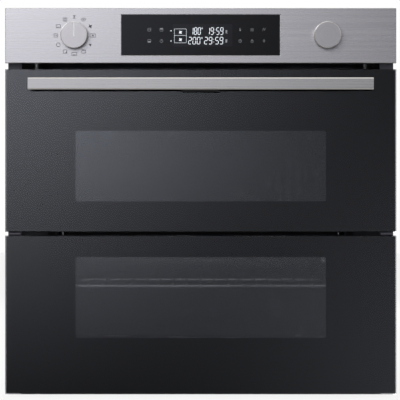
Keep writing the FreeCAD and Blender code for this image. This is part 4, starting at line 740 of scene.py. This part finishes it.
# %% Dim touch signs on both sides
HOOK = ("line", [(-0.3, 0.9), (-0.3, -0.2), (0.3, -0.2), (0.3, 0.9)], False)
TOUCH = [
    (-78.2, 8.2, [SQUARE, ("line", [(-0.85, 0), (0.85, 0)], False)]),
    (-59.7, 8.2, [SQUARE, ("fill", box_outline(0.7, 0.28, 0.05, v=0.4), True)]),
    (-78.2, -9.0, [SQUARE, ("fill", box_outline(0.7, 0.28, 0.05, v=-0.4), True)]),
    (-59.7, -9.0, [("line", ellipse(0.8, 0.8), True), ("line", [(0, 0), (0, 0.6)], False)]),
    (60.0, 8.2, [HOOK, ("fill", ellipse(0.3, 0.3, 14, v=-0.5), True)]),
    (78.1, 8.2, [("line", [(-0.9, 0.5), (0.9, 0.5)], False), ("line", [(-0.9, -0.1), (0.9, -0.1)], False),
                 ("line", [(-0.9, -0.7), (0.9, -0.7)], False)]),
    (96.2, 8.2, [("line", [(-0.8, -0.8), (-0.2, 0.9), (0.3, -0.4), (0.8, 0.9)], False)]),
    (60.0, -9.0, [("line", ellipse(0.8, 0.8), True), ("line", [(0, 0.5), (0, 0), (0.4, -0.2)], False)]),
    (78.1, -9.0, [("line", box_outline(0.6, 0.45, 0.1, v=-0.3), True),
                  ("line", [(-0.35, 0.15), (-0.35, 0.7), (0.35, 0.7), (0.35, 0.15)], False)]),
    (96.2, -9.0, [("line", ellipse(0.5, 0.5, 20, v=0.2), True), ("line", [(-0.3, -0.6), (0.3, -0.6)], False)]),
]
made = []
for u, v, shapes in TOUCH:
    made += display_sign(shapes, u, v, 2.7, 0.36)
touch_signs = joined("display_touch_signs", made)


# %% Lights of their own
def lit_finish(name, colour, strength):
    """A body that glows evenly; its colour is slightly uneven, as a diffuser makes it."""
    made, tree, shader, place = start_finish(name, roughness=0.5, colour=(0.02, 0.02, 0.02))
    patches = use(tree, clouds, place, Size=180.0, Contrast=0.6)
    low = tuple(c * 0.9 for c in colour)
    tree.links.new(mixed_colour(tree, patches.outputs["Mask"], low, colour), shader.inputs["Emission Color"])
    shader.inputs["Emission Strength"].default_value = strength
    return made


dress(lit_finish("digit_light", (0.88, 0.93, 1.0), 1.3), "display_digits", "display_lit_signs")
dress(lit_finish("touch_light", (0.75, 0.78, 0.82), 0.36), "display_touch_signs")
window = plate("display_window", rounded_outline(45.2 * mm, 17.1 * mm, 0.6 * mm) +
               [display_x + 3.0 * mm, display_z - 0.3 * mm], display_low.y - 0.02 * mm, display_low.y + 0.01 * mm)
window_finish = simple_finish("display_window_pane", (0.012, 0.012, 0.014), (0.015, 0.015, 0.017), (0.05, 0.08),
                              size=30.0, depth=0.0)
window_finish.node_tree.nodes["Principled BSDF"].inputs["Specular IOR Level"].default_value = 0.13
dress(window_finish, "display_window")
for piece in (digits, lit_signs, touch_signs, window):
    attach(piece, "cabinet")
print("display pieces:", len(digits.data.polygons) + len(lit_signs.data.polygons), "faces")

# %% [markdown]
# ## The bright edge of the display's cut-out
# The steel sheet is cut with a small bevel round the glass. The bevel catches the light, so it is a thin
# sloping frame of its own: it lies in the cut and falls from the face of the steel to the glass.

# %% Sloping frame
def sloping_frame(name, low, high, slope, y_face, y_glass):
    """Four-sided section: outer edge at the steel's face, inner edge at the glass, and the same two set back
    a little to give it a body."""
    half_w, half_h = (high.x - low.x) / 2, (high.z - low.z) / 2
    outer = rounded_outline(half_w + 0.15 * mm, half_h + 0.15 * mm, 1.0 * mm)
    inner = rounded_outline(half_w - slope, half_h - slope, 0.7 * mm)
    middle = [(low.x + high.x) / 2, (low.z + high.z) / 2]
    rows = np.stack([outer, outer, inner, inner], 1) + middle
    depth = np.broadcast_to([y_face, y_face + 0.15 * mm, y_glass, y_glass - 0.1 * mm], rows.shape[:2])
    return outward(grid_piece(name, np.stack([rows[..., 0], depth, rows[..., 1]], 2)))


rim = sloping_frame("display_rim", display_low, display_high, 0.55 * mm, panel_low.y - 0.03 * mm, display_low.y)
dress(handle_steel, "display_rim")
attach(rim, "cabinet")

# %% [markdown]
# ## Floor, light and camera
# The oven stands on a plain pale floor before a white background. A large soft panel behind the camera, bright
# at its upper left and weaker at its lower right, gives the dark glass its slow fall of light. A smaller lamp
# at the upper left throws the knobs' short shadows. The camera looks straight at the front from some way
# off, so the sides of the oven don't show.

# %% Floor and background
def build_floor():
    """One square of 24 metres, just under the oven."""
    half = 12.0
    level = cad_low[2] - 0.0004
    points = np.array([[(-half, -half, level), (half, -half, level)], [(-half, half, level), (half, half, level)]])
    return grid_piece("floor", points, close_u=False, close_v=False)


floor = build_floor()
made, tree, shader, place = start_finish("pale_floor", roughness=0.9, colour=(0.80, 0.80, 0.80))
glow = tree.nodes.new("ShaderNodeEmission")
path = tree.nodes.new("ShaderNodeLightPath")
blend = tree.nodes.new("ShaderNodeMixShader")
tree.links.new(math_node(tree, "MULTIPLY", path.outputs["Is Camera Ray"], 0.85), blend.inputs[0])
tree.links.new(shader.outputs[0], blend.inputs[1])
tree.links.new(glow.outputs[0], blend.inputs[2])
unseen = tree.nodes.new("ShaderNodeBsdfTransparent")
mirrored = tree.nodes.new("ShaderNodeMixShader")
tree.links.new(path.outputs["Is Glossy Ray"], mirrored.inputs[0])
tree.links.new(blend.outputs[0], mirrored.inputs[1])
tree.links.new(unseen.outputs[0], mirrored.inputs[2])
tree.links.new(mirrored.outputs[0], tree.nodes["Material Output"].inputs["Surface"])
floor.data.materials.append(made)
floor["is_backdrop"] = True

world = bpy.data.worlds.new("white_room")
bpy.context.scene.world = world
world.use_nodes = True
tree = world.node_tree
seen = tree.nodes.new("ShaderNodeLightPath")
eye = math_node(tree, "MAXIMUM", seen.outputs["Is Camera Ray"], seen.outputs["Is Glossy Ray"])
eye = math_node(tree, "MAXIMUM", eye, seen.outputs["Is Transmission Ray"])
strength = math_node(tree, "ADD", math_node(tree, "MULTIPLY", eye, 0.6), 0.4)
tree.links.new(strength, tree.nodes["Background"].inputs["Strength"])
tree.nodes["Background"].inputs["Color"].default_value = (1, 1, 1, 1)

# %% The soft panel behind the camera
PANEL_Y = front_y - 5.2
PANEL_HALF = 6.0
EYE_Z = 0.2985
SPREAD = 1 + 5.2 / 4.5
FAINT_BASE = 0.05
MAIN_GLOW = {"power": 1.8, "across": -0.40, "up": 0.50, "spread": 0.25}
TOP_GLOW = {"power": 3.0, "across": -0.30, "up": 0.95, "spread": 0.30}
FILL_GLOW = {"power": 0.7, "across": 0.45, "up": 0.05, "spread": 0.25}


def round_glow(tree, split, power, across, up, spread):
    """A round soft glow: power × exp(-(u² + v²) / 2), with u and v the distances from its centre over its spread.
    Its centre is written for the place on the oven's front that mirrors it, and SPREAD carries it to the panel."""
    aside = math_node(tree, "SUBTRACT", split.outputs[0], across * SPREAD)
    rise = math_node(tree, "SUBTRACT", split.outputs[2], EYE_Z + (up - EYE_Z) * SPREAD)
    u = math_node(tree, "DIVIDE", aside, spread * SPREAD)
    v = math_node(tree, "DIVIDE", rise, spread * SPREAD)
    square = math_node(tree, "ADD", math_node(tree, "MULTIPLY", u, u), math_node(tree, "MULTIPLY", v, v))
    fall = math_node(tree, "POWER", math.e, math_node(tree, "MULTIPLY", square, -0.5))
    return math_node(tree, "MULTIPLY", fall, power)


def build_light_panel():
    """A wide upright sheet with one glow high up, one at its left and a weak one at its lower right."""
    low = EYE_Z - PANEL_HALF
    high = EYE_Z + PANEL_HALF
    points = np.array([[(-PANEL_HALF, PANEL_Y, low), (PANEL_HALF, PANEL_Y, low)],
                       [(-PANEL_HALF, PANEL_Y, high), (PANEL_HALF, PANEL_Y, high)]])
    sheet = grid_piece("light_panel", points, close_u=False, close_v=False)
    made, tree, shader, place = start_finish("light_panel_glow")
    split = tree.nodes.new("ShaderNodeSeparateXYZ")
    tree.links.new(place, split.inputs[0])
    main = round_glow(tree, split, **MAIN_GLOW)
    top = round_glow(tree, split, **TOP_GLOW)
    fill = round_glow(tree, split, **FILL_GLOW)
    total = math_node(tree, "ADD", math_node(tree, "ADD", main, top), math_node(tree, "ADD", fill, FAINT_BASE))
    light = tree.nodes.new("ShaderNodeEmission")
    light.inputs["Color"].default_value = (0.96, 1.0, 1.13, 1)
    tree.links.new(total, light.inputs["Strength"])
    tree.links.new(light.outputs[0], tree.nodes["Material Output"].inputs["Surface"])
    sheet.data.materials.append(made)
    sheet.visible_camera = False
    sheet.visible_shadow = False
    return sheet


light_panel = build_light_panel()
light_panel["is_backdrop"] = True


# %% Lamps
def soft_lamp(name, place, aim, size, power):
    """A square area lamp at place, facing aim."""
    from mathutils import Vector
    data = bpy.data.lights.new(name, "AREA")
    data.size = size
    data.energy = power
    lamp = bpy.data.objects.new(name, data)
    lamp.location = place
    lamp.rotation_euler = (Vector(aim) - Vector(place)).to_track_quat("-Z", "Y").to_euler()
    lamp.visible_camera = False
    bpy.context.scene.collection.objects.link(lamp)
    return lamp


soft_lamp("key_lamp", (-1.15, front_y - 3.0, 1.55), (0, front_y, 0.35), 0.7, 26)
soft_lamp("left_lamp", (-2.2, front_y - 0.45, 2.5), (0, front_y, 0.3), 1.5, 30)
soft_lamp("right_lamp", (3.2, front_y - 0.6, 1.8), (0, 0, 0.3), 1.8, 7)
soft_lamp("top_lamp", (-0.2, front_y - 0.2, 3.2), (0, 0, 0.3), 2.0, 16)
soft_lamp("back_lamp", (0.8, 3.4, 1.8), (0, 0, 0.3), 2.0, 45)

for name, deep, aim, power in (("rack_front_glow", 0.045, 0.062, 0.013), ("rack_rear_glow", 0.395, 0.43, 0.020)):
    rack_lamp = soft_lamp(name, (0, front_y + deep, 0.196), (0, front_y + aim, 0.168), 0.40, power)
    rack_lamp.data.shape = "RECTANGLE"
    rack_lamp.data.size_y = 0.006

vent_lamp = soft_lamp("vent_glow", (0, front_y + 0.22, 0.5023), (0, front_y + 0.3, 0.5023), 0.48, 0.17)
vent_lamp.data.shape = "RECTANGLE"
vent_lamp.data.size_y = 0.004
vent_lamp.visible_glossy = False

# %% Camera
camera_data = bpy.data.cameras.new("camera")
camera_data.sensor_width = 36
camera_data.lens = 266.3
camera_data.clip_end = 100
camera = bpy.data.objects.new("camera", camera_data)
camera.location = (-0.0011, front_y - 4.5, 0.2985)
camera.rotation_euler = (math.radians(90), 0, 0)
bpy.context.scene.collection.objects.link(camera)
bpy.context.scene.camera = camera
bpy.context.scene.view_settings.view_transform = "Standard"

# %% [markdown]
# The dressed oven must fill the same box as the working model. Both boxes are written out side by side.

# %% Write both boxes and finish
low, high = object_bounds()
print("box before", cad_low, cad_high)
print("box after ", list(low), list(high))
